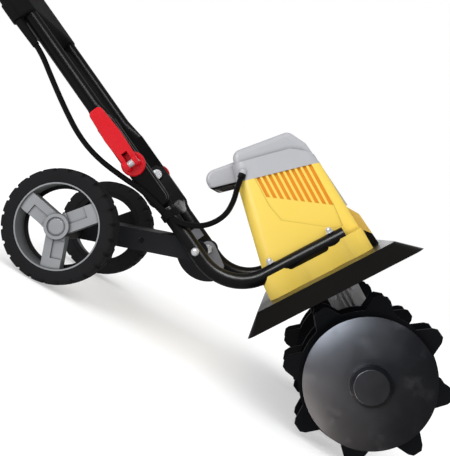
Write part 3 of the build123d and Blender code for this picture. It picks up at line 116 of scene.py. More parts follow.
def aimCamera():
    view = photoView
    roll, yaw, pitch = (radians(view[key]) for key in ("roll", "yaw", "pitch"))
    across = machineAhead * cos(roll) - machineUp * sin(roll)
    above = machineAhead * sin(roll) + machineUp * cos(roll)
    right = across * cos(yaw) + leftWay * sin(yaw)
    forward = (leftWay * cos(yaw) - across * sin(yaw)) * cos(pitch) + above * sin(pitch)
    up = np.cross(right, forward)
    lens = bpy.data.cameras.new("photoCamera")
    lens.sensor_fit = "VERTICAL"
    lens.sensor_height = view["sensor"]
    lens.lens = view["focal"] * view["sensor"] / view["frameHeight"]
    lens.clip_start, lens.clip_end = view["clip"]
    eye = addObject("photoCamera", lens)
    eye.matrix_world = standing(onMachine(*view["place"]), right, up, -forward)
    bpy.context.scene.camera = eye
    return right, up, forward


viewRight, viewUp, viewForward = aimCamera()
print("camera placed")


def smoothFaces(mesh):
    mesh.polygons.foreach_set("use_smooth", np.ones(len(mesh.polygons), bool))


# meshes from arrays: points in rows, faces as index rows, corner UVs if given
def meshFromArrays(name, points, faces, uvs=None):
    mesh = bpy.data.meshes.new(name)
    mesh.from_pydata(points.reshape(-1, 3).tolist(), [], faces.tolist())
    if uvs is not None:
        layer = mesh.uv_layers.new(name="UVMap")
        layer.data.foreach_set("uv", uvs.astype(np.float32).ravel())
    smoothFaces(mesh)
    mesh.update()
    return addObject(name, mesh)


# quads between neighbouring rows of a grid, closed round one or both ways where asked
def gridFaces(rows, columns, closeRows=False, closeColumns=False):
    rowSpan = rows if closeRows else rows - 1
    columnSpan = columns if closeColumns else columns - 1
    i, j = np.meshgrid(np.arange(rowSpan), np.arange(columnSpan), indexing="ij")
    nextRow, nextColumn = (i + 1) % rows, (j + 1) % columns
    corners = [i * columns + j, i * columns + nextColumn,
               nextRow * columns + nextColumn, nextRow * columns + j]
    faces = np.stack(corners, -1).reshape(-1, 4)
    u = np.stack([i, i, i + 1, i + 1], -1) / rowSpan
    v = np.stack([j, j + 1, j + 1, j], -1) / columnSpan
    return faces, np.stack([u, v], -1).reshape(-1, 2)


# shader helpers: a number is set on a socket, and another node's output is linked to it
def feed(tree, value, socket):
    if isinstance(value, (int, float)):
        socket.default_value = value
    else:
        tree.links.new(value, socket)


def newGroup(name, inputs, outputs):
    tree = bpy.data.node_groups.new(name, "ShaderNodeTree")
    for way, labels in (("INPUT", inputs), ("OUTPUT", outputs)):
        for label in labels:
            tree.interface.new_socket(label, in_out=way, socket_type="NodeSocketFloat")
    return tree, tree.nodes.new("NodeGroupInput"), tree.nodes.new("NodeGroupOutput")


# a group placed in a material with values of its own
def placeGroup(tree, group, values):
    node = tree.nodes.new("ShaderNodeGroup")
    node.node_tree = group
    for label, value in values.items():
        node.inputs[label].default_value = value
    return node


def mathNode(tree, kind, first, second):
    node = tree.nodes.new("ShaderNodeMath")
    node.operation = kind
    for socket, value in zip(node.inputs, (first, second)):
        feed(tree, value, socket)
    return node.outputs[0]


# a value carried from one span to another and held at its ends
def mapRange(tree, value, fromSpan, toSpan):
    node = tree.nodes.new("ShaderNodeMapRange")
    labels = ("Value", "From Min", "From Max", "To Min", "To Max")
    for label, part in zip(labels, (value, *fromSpan, *toSpan)):
        feed(tree, part, node.inputs[label])
    return node.outputs["Result"]


# one value, or another where a flag is 1
def swapOn(tree, flag, value, other):
    change = mathNode(tree, "SUBTRACT", other, value)
    return mathNode(tree, "ADD", value, mathNode(tree, "MULTIPLY", flag, change))


def objectSpot(tree):
    return tree.nodes.new("ShaderNodeTexCoord").outputs["Object"]


# a noise on a vector, with settings of its own
def noiseNode(tree, vector, scale, settings):
    noise = tree.nodes.new("ShaderNodeTexNoise")
    for label, value in {"Vector": vector, "Scale": scale, **settings}.items():
        feed(tree, value, noise.inputs[label])
    return noise.outputs["Fac"]


# moulded grain: fine height and broad mottle from two noises on object coordinates
grainLook = {"fine": {"Detail": 3.0}, "broad": {"Detail": 5.0, "Roughness": 0.62}}


def buildGrainGroup():
    tree, source, sink = newGroup(
        "mouldGrain", ["Fine Scale", "Broad Scale"], ["Height", "Mottle"])
    spot = objectSpot(tree)
    fine = noiseNode(tree, spot, source.outputs["Fine Scale"], grainLook["fine"])
    broad = noiseNode(tree, spot, source.outputs["Broad Scale"], grainLook["broad"])
    feed(tree, fine, sink.inputs["Height"])
    feed(tree, broad, sink.inputs["Mottle"])
    return tree


# thin marks: noise stretched along one way and cut to its bright peaks
rubLook = {"stretch": (1.0, 0.12, 1.0), "turn": (0.4, 0.2, 0.7), "noise": {"Detail": 6.0},
           "level": 0.58, "sharpness": 9.0}


def buildScratchGroup():
    tree, source, sink = newGroup("rubMarks", ["Scale", "Amount"], ["Marks"])
    stretch = tree.nodes.new("ShaderNodeMapping")
    stretch.inputs["Scale"].default_value = rubLook["stretch"]
    stretch.inputs["Rotation"].default_value = rubLook["turn"]
    feed(tree, objectSpot(tree), stretch.inputs["Vector"])
    noise = noiseNode(tree, stretch.outputs["Vector"], source.outputs["Scale"], rubLook["noise"])
    peak = mathNode(tree, "SUBTRACT", noise, rubLook["level"])
    sharp = mathNode(tree, "MULTIPLY", peak, rubLook["sharpness"])
    cut = mathNode(tree, "MAXIMUM", mathNode(tree, "MINIMUM", sharp, 1.0), 0.0)
    feed(tree, mathNode(tree, "MULTIPLY", cut, source.outputs["Amount"]), sink.inputs["Marks"])
    return tree


# cells of a foam or a cast skin from a distance pattern
def buildCellGroup():
    tree, source, sink = newGroup("cellSkin", ["Scale"], ["Height"])
    cells = tree.nodes.new("ShaderNodeTexVoronoi")
    feed(tree, objectSpot(tree), cells.inputs["Vector"])
    feed(tree, source.outputs["Scale"], cells.inputs["Scale"])
    feed(tree, cells.outputs["Distance"], sink.inputs["Height"])
    return tree


# painted shade: colour kept at 1 on open faces, down to 1 - depth in creases where the piece shuts itself in
paintedShadeLook = {"samples": 8, "openness": (0.4, 0.95)}


def buildPaintedShadeGroup():
    tree, source, sink = newGroup("creaseShade", ["Depth", "Reach"], ["Light"])
    hollow = tree.nodes.new("ShaderNodeAmbientOcclusion")
    hollow.only_local = True
    hollow.samples = paintedShadeLook["samples"]
    feed(tree, source.outputs["Reach"], hollow.inputs["Distance"])
    darkest = mathNode(tree, "SUBTRACT", 1.0, source.outputs["Depth"])
    light = mapRange(tree, hollow.outputs["AO"], paintedShadeLook["openness"], (darkest, 1.0))
    feed(tree, light, sink.inputs["Light"])
    return tree


grainGroup = buildGrainGroup()
scratchGroup = buildScratchGroup()
cellGroup = buildCellGroup()
paintedShadeGroup = buildPaintedShadeGroup()

# finishes: two shades that the mottle runs between, the range of roughness, metal, shine, scales of
# the fine grain and the broad mottle, bump and rub marks; where given, cells is the scale of a cell
# skin, and crease is how deep the painted shade in creases goes and its reach in millimetres
plainFinish = {"metal": 0.0, "shine": 0.5}  # where a finish names none of its own
finishes = {
    "yellow_shell": {"shades": ((0.79, 0.563, 0.078), (0.84, 0.605, 0.094)), "rough": (0.36, 0.46),
                     "shine": 0.45, "fine": 1100.0, "broad": 9.0, "bump": 0.05, "marks": 0.04,
                     "crease": (0.42, 7.0)},
    # painted shade: the shell's yellow made darker and tanner for the nose
    "nose_painted_shade": {"shades": ((0.60, 0.40, 0.085), (0.65, 0.44, 0.10)), "rough": (0.40, 0.50),
                   "shine": 0.3, "fine": 1100.0, "broad": 9.0, "bump": 0.05, "marks": 0.04},
    # painted shade: the shell's yellow made a deeper orange for the slots' recessed faces
    "slot_painted_shade": {"shades": ((0.79, 0.31, 0.005), (0.85, 0.37, 0.009)), "rough": (0.40, 0.50),
                    "shine": 0.3, "fine": 1100.0, "broad": 9.0, "bump": 0.05, "marks": 0.03},
    "hood_grey": {"shades": ((0.375, 0.379, 0.402), (0.41, 0.414, 0.438)), "rough": (0.42, 0.52),
                  "shine": 0.4, "fine": 900.0, "broad": 10.0, "bump": 0.10, "marks": 0.05,
                  "crease": (0.4, 7.0)},
    "black_plastic": {"shades": ((0.004, 0.004, 0.0045), (0.008, 0.008, 0.0085)),
                      "rough": (0.46, 0.60), "shine": 0.1, "fine": 1300.0, "broad": 12.0,
                      "bump": 0.20, "marks": 0.05},
    "black_tube": {"shades": ((0.0025, 0.0025, 0.003), (0.0045, 0.0045, 0.005)),
                   "rough": (0.27, 0.31), "shine": 0.22, "fine": 500.0, "broad": 16.0,
                   "bump": 0.0, "marks": 0.02},
    "guard_paint": {"shades": ((0.0035, 0.0033, 0.003), (0.007, 0.0065, 0.006)),
                    "rough": (0.24, 0.36), "shine": 0.22, "fine": 650.0, "broad": 8.0,
                    "bump": 0.06, "marks": 0.08},
    "tine_paint": {"shades": ((0.0025, 0.0028, 0.0036), (0.0055, 0.006, 0.0078)),
                   "rough": (0.30, 0.42), "shine": 0.14, "fine": 600.0, "broad": 11.0,
                   "bump": 0.08, "marks": 0.12},
    "bracket_paint": {"shades": ((0.011, 0.0115, 0.0135), (0.019, 0.0195, 0.023)),
                      "rough": (0.32, 0.44), "shine": 0.14, "fine": 700.0, "broad": 14.0,
                      "bump": 0.08, "marks": 0.10},
    "zinc": {"shades": ((0.66, 0.67, 0.70), (0.80, 0.81, 0.84)), "rough": (0.22, 0.36),
             "metal": 0.6, "fine": 800.0, "broad": 40.0, "bump": 0.06, "marks": 0.2},
    "strap_zinc": {"shades": ((0.17, 0.175, 0.20), (0.30, 0.305, 0.34)), "rough": (0.30, 0.46),
                   "metal": 0.55, "fine": 800.0, "broad": 40.0, "bump": 0.08, "marks": 0.2},
    "cast_alu": {"shades": ((0.44, 0.43, 0.43), (0.66, 0.65, 0.65)), "rough": (0.34, 0.52),
                 "metal": 0.45, "fine": 420.0, "broad": 22.0, "bump": 0.25, "marks": 0.15,
                 "cells": 520.0},
    "red_plastic": {"shades": ((0.52, 0.005, 0.011), (0.59, 0.007, 0.015)), "rough": (0.24, 0.34),
                    "shine": 0.35, "fine": 1200.0, "broad": 16.0, "bump": 0.05, "marks": 0.05},
    "tyre_rubber": {"shades": ((0.009, 0.009, 0.010), (0.015, 0.015, 0.0165)),
                    "rough": (0.62, 0.80), "shine": 0.12, "fine": 700.0, "broad": 18.0,
                    "bump": 0.18, "marks": 0.08},
    "rim_silver": {"shades": ((0.29, 0.30, 0.315), (0.36, 0.37, 0.385)), "rough": (0.32, 0.44),
                   "metal": 0.45, "fine": 1000.0, "broad": 20.0, "bump": 0.08, "marks": 0.06,
                   "crease": (0.85, 4.0)},
    # painted shade on the rims' barrels, a darker copy of the silver
    "rim_barrel_painted_shade": {"shades": ((0.115, 0.121, 0.125), (0.150, 0.156, 0.160)), "rough": (0.38, 0.50),
                 "metal": 0.1, "shine": 0.35, "fine": 1000.0, "broad": 20.0, "bump": 0.10,
                 "marks": 0.06},
    # painted highlight on the rims' edges, a brighter copy of the silver
    "rim_painted_highlight": {"shades": ((0.66, 0.67, 0.69), (0.74, 0.75, 0.77)), "rough": (0.26, 0.36),
                 "metal": 0.45, "fine": 1000.0, "broad": 20.0, "bump": 0.05, "marks": 0.08},
    # painted shade on the rims' backs, a near-black copy of the silver
    "rim_back_painted_shade": {"shades": ((0.007, 0.007, 0.008), (0.012, 0.012, 0.013)), "rough": (0.42, 0.56),
                  "shine": 0.2, "fine": 1000.0, "broad": 20.0, "bump": 0.10, "marks": 0.06},
    "foam": {"shades": ((0.008, 0.008, 0.008), (0.018, 0.018, 0.018)), "rough": (0.85, 0.97),
             "shine": 0.2, "fine": 800.0, "broad": 30.0, "bump": 0.6, "marks": 0.0,
             "cells": 950.0},
    "cable_rubber": {"shades": ((0.003, 0.003, 0.0035), (0.006, 0.006, 0.0065)),
                     "rough": (0.34, 0.48), "shine": 0.16, "fine": 900.0, "broad": 25.0,
                     "bump": 0.10, "marks": 0.05},
    "iron": {"shades": ((0.20, 0.20, 0.21), (0.28, 0.28, 0.29)), "rough": (0.40, 0.60),
             "metal": 1.0, "fine": 500.0, "broad": 30.0, "bump": 0.15, "marks": 0.2},
    "copper": {"shades": ((0.62, 0.24, 0.10), (0.76, 0.36, 0.18)), "rough": (0.25, 0.42),
               "metal": 1.0, "fine": 700.0, "broad": 60.0, "bump": 0.2, "marks": 0.1},
    "steel": {"shades": ((0.46, 0.46, 0.48), (0.56, 0.56, 0.58)), "rough": (0.18, 0.32),
              "metal": 1.0, "fine": 900.0, "broad": 40.0, "bump": 0.05, "marks": 0.25},
    "bronze": {"shades": ((0.55, 0.36, 0.14), (0.66, 0.47, 0.22)), "rough": (0.25, 0.40),
               "metal": 1.0, "fine": 700.0, "broad": 40.0, "bump": 0.08, "marks": 0.2},
    "carbon": {"shades": ((0.02, 0.02, 0.022), (0.04, 0.04, 0.043)), "rough": (0.5, 0.7),
               "shine": 0.4, "fine": 900.0, "broad": 20.0, "bump": 0.15, "marks": 0.05},
}
# for all of them: how much finer the marks are than the mottle, the span of the mottle that the
# roughness follows, and the bump's depth in metres
finishRule = {"marksFiner": 3, "mottleSpan": (0.3, 0.7), "bumpDepth": 0.0004}


def makeFinish(name, look):
    material = bpy.data.materials.new(name)
    material.use_nodes = True
    tree = material.node_tree
    shader = tree.nodes["Principled BSDF"]
    shader.inputs["Metallic"].default_value = look["metal"]
    shader.inputs["Specular IOR Level"].default_value = look["shine"]
    grain = placeGroup(tree, grainGroup, {"Fine Scale": look["fine"], "Broad Scale": look["broad"]})
    marks = placeGroup(tree, scratchGroup, {"Scale": look["broad"] * finishRule["marksFiner"],
                                            "Amount": look["marks"]})
    tint = tree.nodes.new("ShaderNodeMix")
    tint.data_type = "RGBA"
    tint.inputs["A"].default_value = (*look["shades"][0], 1.0)
    tint.inputs["B"].default_value = (*look["shades"][1], 1.0)
    feed(tree, grain.outputs["Mottle"], tint.inputs["Factor"])
    colour = tint.outputs["Result"]
    # painted shade: where a finish asks for it, its colour is darkened in creases
    if "crease" in look:
        depth, reach = look["crease"]
        crease = placeGroup(tree, paintedShadeGroup, {"Depth": depth, "Reach": reach / 1000})
        dim = tree.nodes.new("ShaderNodeVectorMath")
        dim.operation = "SCALE"
        feed(tree, colour, dim.inputs[0])
        feed(tree, crease.outputs["Light"], dim.inputs["Scale"])
        colour = dim.outputs["Vector"]
    feed(tree, colour, shader.inputs["Base Color"])
    gloss = mapRange(tree, grain.outputs["Mottle"], finishRule["mottleSpan"], look["rough"])
    feed(tree, mathNode(tree, "ADD", gloss, marks.outputs["Marks"]), shader.inputs["Roughness"])
    bump = tree.nodes.new("ShaderNodeBump")
    bump.inputs["Strength"].default_value = look["bump"]
    bump.inputs["Distance"].default_value = finishRule["bumpDepth"]
    height = grain.outputs["Height"]
    if "cells" in look:
        cells = placeGroup(tree, cellGroup, {"Scale": look["cells"]})
        height = mathNode(tree, "ADD", height, cells.outputs["Height"])
    feed(tree, height, bump.inputs["Height"])
    feed(tree, bump.outputs["Normal"], shader.inputs["Normal"])
    return material


materials = {name: makeFinish(name, {**plainFinish, **look}) for name, look in finishes.items()}
print("finishes made:", len(materials))


def paint(piece, slotName):
    piece.data.materials.clear()
    piece.data.materials.append(materials[slotName])


for node, piece in nodes.items():
    if piece.data.materials:
        for place in range(len(piece.data.materials)):
            piece.data.materials[place] = materials[slotOf[node]]
    else:
        piece.data.materials.append(materials[slotOf[node]])


# moulded and pressed pieces: the solid's own surface, joined up, with its corners rounded by so
# many millimetres
roundedPieces = {
    "motor_housing": 0.6, "motor_hood": 1.0, "tine_guard": 0.5, "console_front": 1.0,
    "console_rear": 1.0, "wheel_rim_right": 0.8, "wheel_rim_left": 0.8, "cam_lever_right": 0.8,
    "cam_lever_left": 0.8, "cup_washers": 0.5, "hubcap_right": 0.4, "hubcap_left": 0.4,
    "lower_tube_right": 0.5, "lower_tube_left": 0.5, "upper_handle": 0.5, "side_disc_right": 0.5,
    "side_disc_left": 0.5, "tine_star_1": 0.5, "tine_star_2": 0.5, "tine_star_3": 0.5,
    "tine_star_4": 0.5, "gearbox_right": 0.7, "gearbox_left": 0.7, "gearbox_flange": 0.6,
    "wheel_bracket": 0.4, "quadrant_plate": 0.4, "pivot_strap": 0.4, "frame_bolts": 0.3,
    "cam_bolts": 0.3, "gearbox_bolts": 0.3, "clamp_knob": 0.6, "intake_grille": 0.3,
    "outlet_grille": 0.3, "cable_clip": 0.3, "cable_gland": 0.3, "mains_inlet": 0.5,
    "lock_button": 0.4, "bail_lever": 0.2, "axle_nuts": 0.3, "tine_shaft": 0.4,
}
# metres within which points join, degrees at which faces are one and edges are sharp or rounded,
# and the faces across a rounded edge
roundingRule = {"join": 2e-6, "flat": 1.0, "sharp": 32.0, "rounded": 40.0, "segments": 2}
# bent tubes, whose facets are kept with evened normals
drawnTubes = ("lower_tube_right", "lower_tube_left", "upper_handle")


def roundedCopy(node, width):
    rule = roundingRule
    mesh = nodes[node].data.copy()
    work = bmesh.new()
    work.from_mesh(mesh)
    bmesh.ops.remove_doubles(work, verts=work.verts, dist=rule["join"])
    if node not in drawnTubes:
        bmesh.ops.dissolve_limit(
            work, angle_limit=radians(rule["flat"]), verts=work.verts, edges=work.edges)
    work.to_mesh(mesh)
    work.free()
    if "custom_normal" in mesh.attributes:
        mesh.attributes.remove(mesh.attributes["custom_normal"])
    smoothFaces(mesh)
    mesh.set_sharp_from_angle(angle=radians(rule["sharp"]))
    piece = addObject(node + "_finish", mesh)
    soften = piece.modifiers.new("soften", "BEVEL")
    soften.width = width / 1000
    soften.segments = rule["segments"]
    soften.limit_method = "ANGLE"
    soften.angle_limit = radians(rule["rounded"])
    soften.use_clamp_overlap = True
    soften.harden_normals = True
    if node in drawnTubes:
        piece.modifiers.new("even", "WEIGHTED_NORMAL").keep_sharp = True
    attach(piece, bodyOf[node])
    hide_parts(node)
    paint(piece, slotOf[node])
    return piece


finished = {node: roundedCopy(node, width) for node, width in roundedPieces.items()}
finished["pivot_strap"].data.materials[0] = materials["strap_zinc"]
print("rounded pieces:", len(finished))


# middles and normals of a mesh's faces, one row each
def faceArrays(mesh):
    centres, normals = np.empty((2, len(mesh.polygons) * 3))
    mesh.polygons.foreach_get("center", centres)
    mesh.polygons.foreach_get("normal", normals)
    return centres.reshape(-1, 3), normals.reshape(-1, 3)


# the place of each face's material among the mesh's own
def setFinishes(mesh, index):
    mesh.polygons.foreach_set("material_index", index.astype(np.int32))


onPlane = 1e-6  # metres from a cut's plane within which a point counts as on it


# divides the chosen faces of a mesh where a plane through a place crosses them
def cutFaces(mesh, chosen, place, way):
    work = bmesh.new()
    work.from_mesh(mesh)
    work.faces.ensure_lookup_table()
    faces = [work.faces[int(i)] for i in np.flatnonzero(chosen)]
    edges = dict.fromkeys(edge for face in faces for edge in face.edges)
    corners = dict.fromkeys(corner for face in faces for corner in face.verts)
    bmesh.ops.bisect_plane(work, geom=[*faces, *edges, *corners], dist=onPlane,
                           plane_co=Vector(place), plane_no=Vector(way).normalized())
    work.to_mesh(mesh)
    work.free()


# the way square to the plane between shell and hood
partingLean = {"ahead": 0.247, "up": 0.969}
partingWay = machineAhead * partingLean["ahead"] + machineUp * partingLean["up"]

# ventilation slots, painted shade on their faces: where the shell's side wall stands at each height,
# how deep the slots lie in it, and how far a face of theirs may look up or inwards
slotPlace = {"half": 77.0, "lean": 0.077, "from": 178.5, "depths": (1.35, 4.4),
             "xSpan": (-6.0, 72.6), "lowest": 218.0, "upward": 0.9, "inward": 0.5}


# depth of a face's middle = wall half-width at its height, less its distance from the centre plane
def colourSlots():
    mesh = finished["motor_housing"].data
    mesh.materials.append(materials["slot_painted_shade"])
    centres, normals = faceArrays(mesh)
    x, y, z = machinePlaces(centres)
    depth = slotPlace["half"] - slotPlace["lean"] * (z - slotPlace["from"]) - np.abs(y)
    inward = normals[:, 1] * y < -slotPlace["inward"] * np.abs(y)
    inside = between(depth, slotPlace["depths"]) & between(x, slotPlace["xSpan"])
    inside &= (z > slotPlace["lowest"]) & (normals @ partingWay < slotPlace["upward"]) & ~inward
    # painted shade: the slots' faces take the deeper orange copy of the shell's yellow
    setFinishes(mesh, inside)
    return int(inside.sum())


print("slot faces:", colourSlots())

# housing's nose: painted shade, a darker tan copy of the shell's yellow, with a black corner round the outlet
# nose: ahead of x = front - lean (z - foot), under top and within half of the centre plane
# corner: ahead of x = cornerFrom and under the line z = cornerTop - cornerFall (x - cornerFrom)
nosePlace = {"half": 43.0, "top": 213.0, "front": 92.0, "lean": 0.05, "foot": 144.0, "margin": 0.5,
             "cornerFrom": 95.0, "cornerTop": 170.0, "cornerFall": 1.2}


def colourNose():
    mesh = finished["motor_housing"].data
    shell = len(mesh.materials)
    for finish in ("nose_painted_shade", "black_plastic"):
        mesh.materials.append(materials[finish])

    # the nose's faces, and those of its corner
    def onNose():
        x, y, z = machinePlaces(faceArrays(mesh)[0])
        front = nosePlace["front"] - nosePlace["lean"] * (z - nosePlace["foot"])
        nose = x > front + nosePlace["margin"]
        nose &= (np.abs(y) < nosePlace["half"]) & (z < nosePlace["top"])
        ahead = x - nosePlace["cornerFrom"]
        line = nosePlace["cornerTop"] - nosePlace["cornerFall"] * ahead
        return nose, nose & (ahead > 0) & (z < line)

    cut = onMachine(nosePlace["cornerFrom"], 0, nosePlace["cornerTop"])
    for way in (machineAhead, machineAhead * nosePlace["cornerFall"] + machineUp):
        cutFaces(mesh, onNose()[0], cut, way)
    nose, corner = onNose()
    index = np.zeros(len(mesh.polygons), np.int32)
    mesh.polygons.foreach_get("material_index", index)
    setFinishes(mesh, np.select([corner, nose], [shell + 1, shell], index))
    return int(nose.sum()), int(corner.sum())


print("nose and corner faces:", colourNose())

# wheel rims: silver where the front looks outwards, a painted highlight on the edge, painted shade on the barrel,
# darker painted shade behind
rimLook = {"outer": 142.5, "frontDepth": 9.0, "facing": 0.3, "edgeRadius": 57.5, "backDepth": 26.0}


def colourRim(name, side):
    mesh = finished[f"wheel_rim_{name}"].data
    for finish in ("rim_painted_highlight", "rim_barrel_painted_shade", "rim_back_painted_shade"):  # places 1 to 3, after the silver
        mesh.materials.append(materials[finish])
    hub = np.array(joints[f"wheel_{name}_spin"]["pos_m"])
    centres, normals = faceArrays(mesh)
    depth = rimLook["outer"] - side * centres[:, 1] * 1000
    reach = np.linalg.norm((centres - hub)[:, ::2], axis=1) * 1000
    outward = side * normals[:, 1]
    front = (depth < rimLook["frontDepth"]) & (outward > rimLook["facing"])
    edge = front & (reach > rimLook["edgeRadius"])
    back = (outward < -rimLook["facing"]) | (depth > rimLook["backDepth"])
    # painted light: brighter silver on the edge as a painted highlight, darker copies on the barrel and behind as
    # painted shade
    setFinishes(mesh, np.select([edge, front, back], [1, 0, 3], 2))


for name, side in wheelSides.items():
    colourRim(name, side)

# hood: a black boot round the line by which the cable enters, and painted shade: the downward faces
# behind the intake's bars painted black
hoodPlace = {"bootEnd": (-24.5, -67.0, 316.5), "bootWay": (11.5, 4.5, 10.5), "bootRadius": 6.0,
             "bootSpan": (-1.0, 6.0), "lobeEnd": -30.0, "facing": 0.55}


def colourHood():
    mesh = finished["motor_hood"].data
    for finish in ("cable_rubber", "black_plastic"):  # places 1 and 2, after the grey
        mesh.materials.append(materials[finish])
    end = onMachine(*hoodPlace["bootEnd"])
    way = unit(onMachine(*hoodPlace["bootWay"]) - tineCentre)

    # distance along the boot's line and away from it, for each face's middle
    def fromBoot():
        offset = (faceArrays(mesh)[0] - end) * 1000
        along = offset @ way
        return along, np.linalg.norm(offset - along[:, None] * way, axis=1)

    cut = end + way * hoodPlace["bootSpan"][1] / 1000
    cutFaces(mesh, fromBoot()[1] < hoodPlace["bootRadius"], cut, way)
    along, away = fromBoot()
    boot = (away < hoodPlace["bootRadius"]) & between(along, hoodPlace["bootSpan"])
    centres, normals = faceArrays(mesh)
    # painted shade: the hood's downward faces behind the intake, painted black
    under = normals @ partingWay < -hoodPlace["facing"]
    under &= (machinePlaces(centres)[0] < hoodPlace["lobeEnd"]) & ~boot
    setFinishes(mesh, boot + 2 * under)
    return int(boot.sum()), int(under.sum())


print("boot and underside faces:", colourHood())

# motor cable: the route's points, in millimetres, as the control points of one smooth line, first
# along the handle; radius and the least distance apart are in metres
cableRun = {
    "radius": 0.004, "around": 20, "steps": 14, "apart": 1e-6,
    "bendFrom": (-75.0, 0.0, -100.0), "bendTo": (110.0, 0.0, -92.0),
    "alongHandle": ((220, -16, -97), (206, -16, -97), (168, -26, -92.5), (125, -35, -91),
                    (80, -41, -93), (38, -37, -97), (-4, -23.5, -101), (-42, -9, -101.5),
                    (-87, -1.5, -101.2), (-113, 10.5, -97.8)),
    "toHood": ((-98, -88, 277.5), (-69, -79, 278), (-48, -74, 292), (-36, -71.5, 306),
               (-24.54, -67.01, 316.47)),
}


# points along a smooth spline whose control points are given
def splinePoints(name, controls, steps):
    curve = bpy.data.curves.new(name, "CURVE")
    curve.dimensions = "3D"
    spline = curve.splines.new("NURBS")
    spline.points.add(len(controls) - 1)
    spline.points.foreach_set("co", np.column_stack([controls, np.ones(len(controls))]).ravel())
    spline.order_u = 3
    spline.use_endpoint_u = True
    spline.resolution_u = steps
    carrier = bpy.data.objects.new(name, curve)
    line = bpy.data.meshes.new_from_object(carrier)
    points = np.empty(len(line.vertices) * 3)
    line.vertices.foreach_get("co", points)
    bpy.data.objects.remove(carrier)
    bpy.data.curves.remove(curve)
    bpy.data.meshes.remove(line)
    return points.reshape(-1, 3)


# a round profile carried along a path: each ring stands square to the path's own way there
def tubeAlong(name, path, radius, around):
    tangent = unit(np.gradient(path, axis=0))
    guide = unit(np.cross(tangent, leftWay))
    other = np.cross(tangent, guide)
    turn = np.linspace(0, tau, around, endpoint=False)[None, :, None]
    ring = guide[:, None] * np.cos(turn) + other[:, None] * np.sin(turn)
    faces, uvs = gridFaces(len(path), around, closeColumns=True)
    return meshFromArrays(name, path[:, None] + ring * radius, faces, uvs)


def buildCable():
    controls = [onHandle(*place) for place in cableRun["alongHandle"]]
    controls += [onMachine(*place) for place in cableRun["toHood"]]
    path = splinePoints("cableLine", np.array(controls), cableRun["steps"])
    path = path[np.r_[True, np.linalg.norm(np.diff(path, axis=0), axis=1) > cableRun["apart"]]]
    cable = tubeAlong("motor_cable_sheath", path, cableRun["radius"], cableRun["around"])
    length = float(np.linalg.norm(np.diff(path, axis=0), axis=1).sum())
    paint(cable, "cable_rubber")
    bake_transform(cable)
    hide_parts("motor_cable")
    return length


print("cable length", round(buildCable(), 4))


# points spun round a cross axle: radius and place across in millimetres, turn in radians
def spunPoints(centre, radius, across, turn):
    ring = np.broadcast_arrays(radius * np.cos(turn), across, radius * np.sin(turn))
    return centre + np.stack(ring, -1) / 1000


# tyres: a square-shouldered profile spun round the axle, cut by staggered shoulder grooves and by
# fine lines on the flank
tyreShape = {"outer": 142.5, "width": 40.0, "lugs": 24, "turns": 720, "cutWall": 0.08,
             "sharp": 50.0}
# a cut's width as a share of a lug and its depth, and the start and rise of it across and outwards
tyreCuts = {
    "shoulder": {"width": 0.22, "depth": 2.6, "across": (5.0, 1.0), "out": (73.0, 2.5)},
    "flank": {"width": 0.07, "depth": 0.35, "across": (18.0, 1.0), "out": (65.0, 1.5)},
}
# radius and place across: inner bead, its lip over the rim's edge, flat side wall, shoulder, crown,
# channel
tyreWall = np.array([
    [61.0, 17.6], [60.9, 18.04], [60.2, 18.08], [60.0, 18.3], [60.2, 18.7], [61.2, 19.1],
    [63.0, 19.45], [65.0, 19.65], [68.0, 19.8], [71.0, 19.85], [73.5, 19.8], [75.5, 19.5],
    [76.9, 18.8], [77.9, 17.8], [78.7, 16.2], [79.2, 14.2], [79.6, 11.4], [79.85, 8.4],
    [80.0, 5.6], [80.0, 4.6], [80.0, 3.2], [79.7, 2.7], [77.4, 2.3], [77.0, 1.9], [77.0, 0.6]])


def buildTyre(name, side):
    shape = tyreShape
    hub = np.array(joints[f"wheel_{name}_spin"]["pos_m"])
    middle = shape["outer"] - shape["width"] / 2
    across = np.r_[tyreWall[:, 1], -tyreWall[::-1, 1]]
    radius = np.r_[tyreWall[:, 0], tyreWall[::-1, 0]]
    turn = np.linspace(0, tau, shape["turns"], endpoint=False)[:, None]
    lug = turn * shape["lugs"] / tau + np.where(across > 0, 0.0, 0.5)  # half a lug apart

    # a cut is as deep as it says inside its width, and rises to nothing at its walls and its ends
    def cutDepth(cut):
        place = np.abs((lug + 0.5) % 1 - 0.5) * 2
        groove = np.clip((cut["width"] - place) / shape["cutWall"] + 0.5, 0, 1)
        reach = ramp(np.abs(across), *cut["across"]) * ramp(radius, *cut["out"])
        return groove * reach * cut["depth"]

    place = middle + across - np.sign(across) * cutDepth(tyreCuts["flank"])
    tread = radius - cutDepth(tyreCuts["shoulder"])
    points = spunPoints(hub * (1, 0, 1), tread, side * place, turn)
    faces, uvs = gridFaces(len(turn), len(radius), closeRows=True, closeColumns=True)
    if side > 0:
        faces, uvs = faces[:, ::-1], uvs.reshape(-1, 4, 2)[:, ::-1].reshape(-1, 2)
    tyre = meshFromArrays(f"tyre_{name}_tread", points, faces, uvs)
    tyre.data.set_sharp_from_angle(angle=radians(shape["sharp"]))
    paint(tyre, "tyre_rubber")
    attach(tyre, f"wheel_{name}")
    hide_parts(f"tyre_{name}")


for name, side in wheelSides.items():
    buildTyre(name, side)
print("tyres made")

# foam grip: a sleeve with rolled ends and faint rings where it was cut
# radius = bore + (wall + ripple x sin(ringTurns x place)) x the roll, which falls off in a quarter
# circle from rollFrom to the end
gripShape = {"radius": 16.0, "bore": 11.0, "inset": 0.2, "half": 105.0, "reach": 640.0,
             "rows": 220, "around": 64, "rollFrom": 0.965, "ripple": 0.12, "ringTurns": 140}


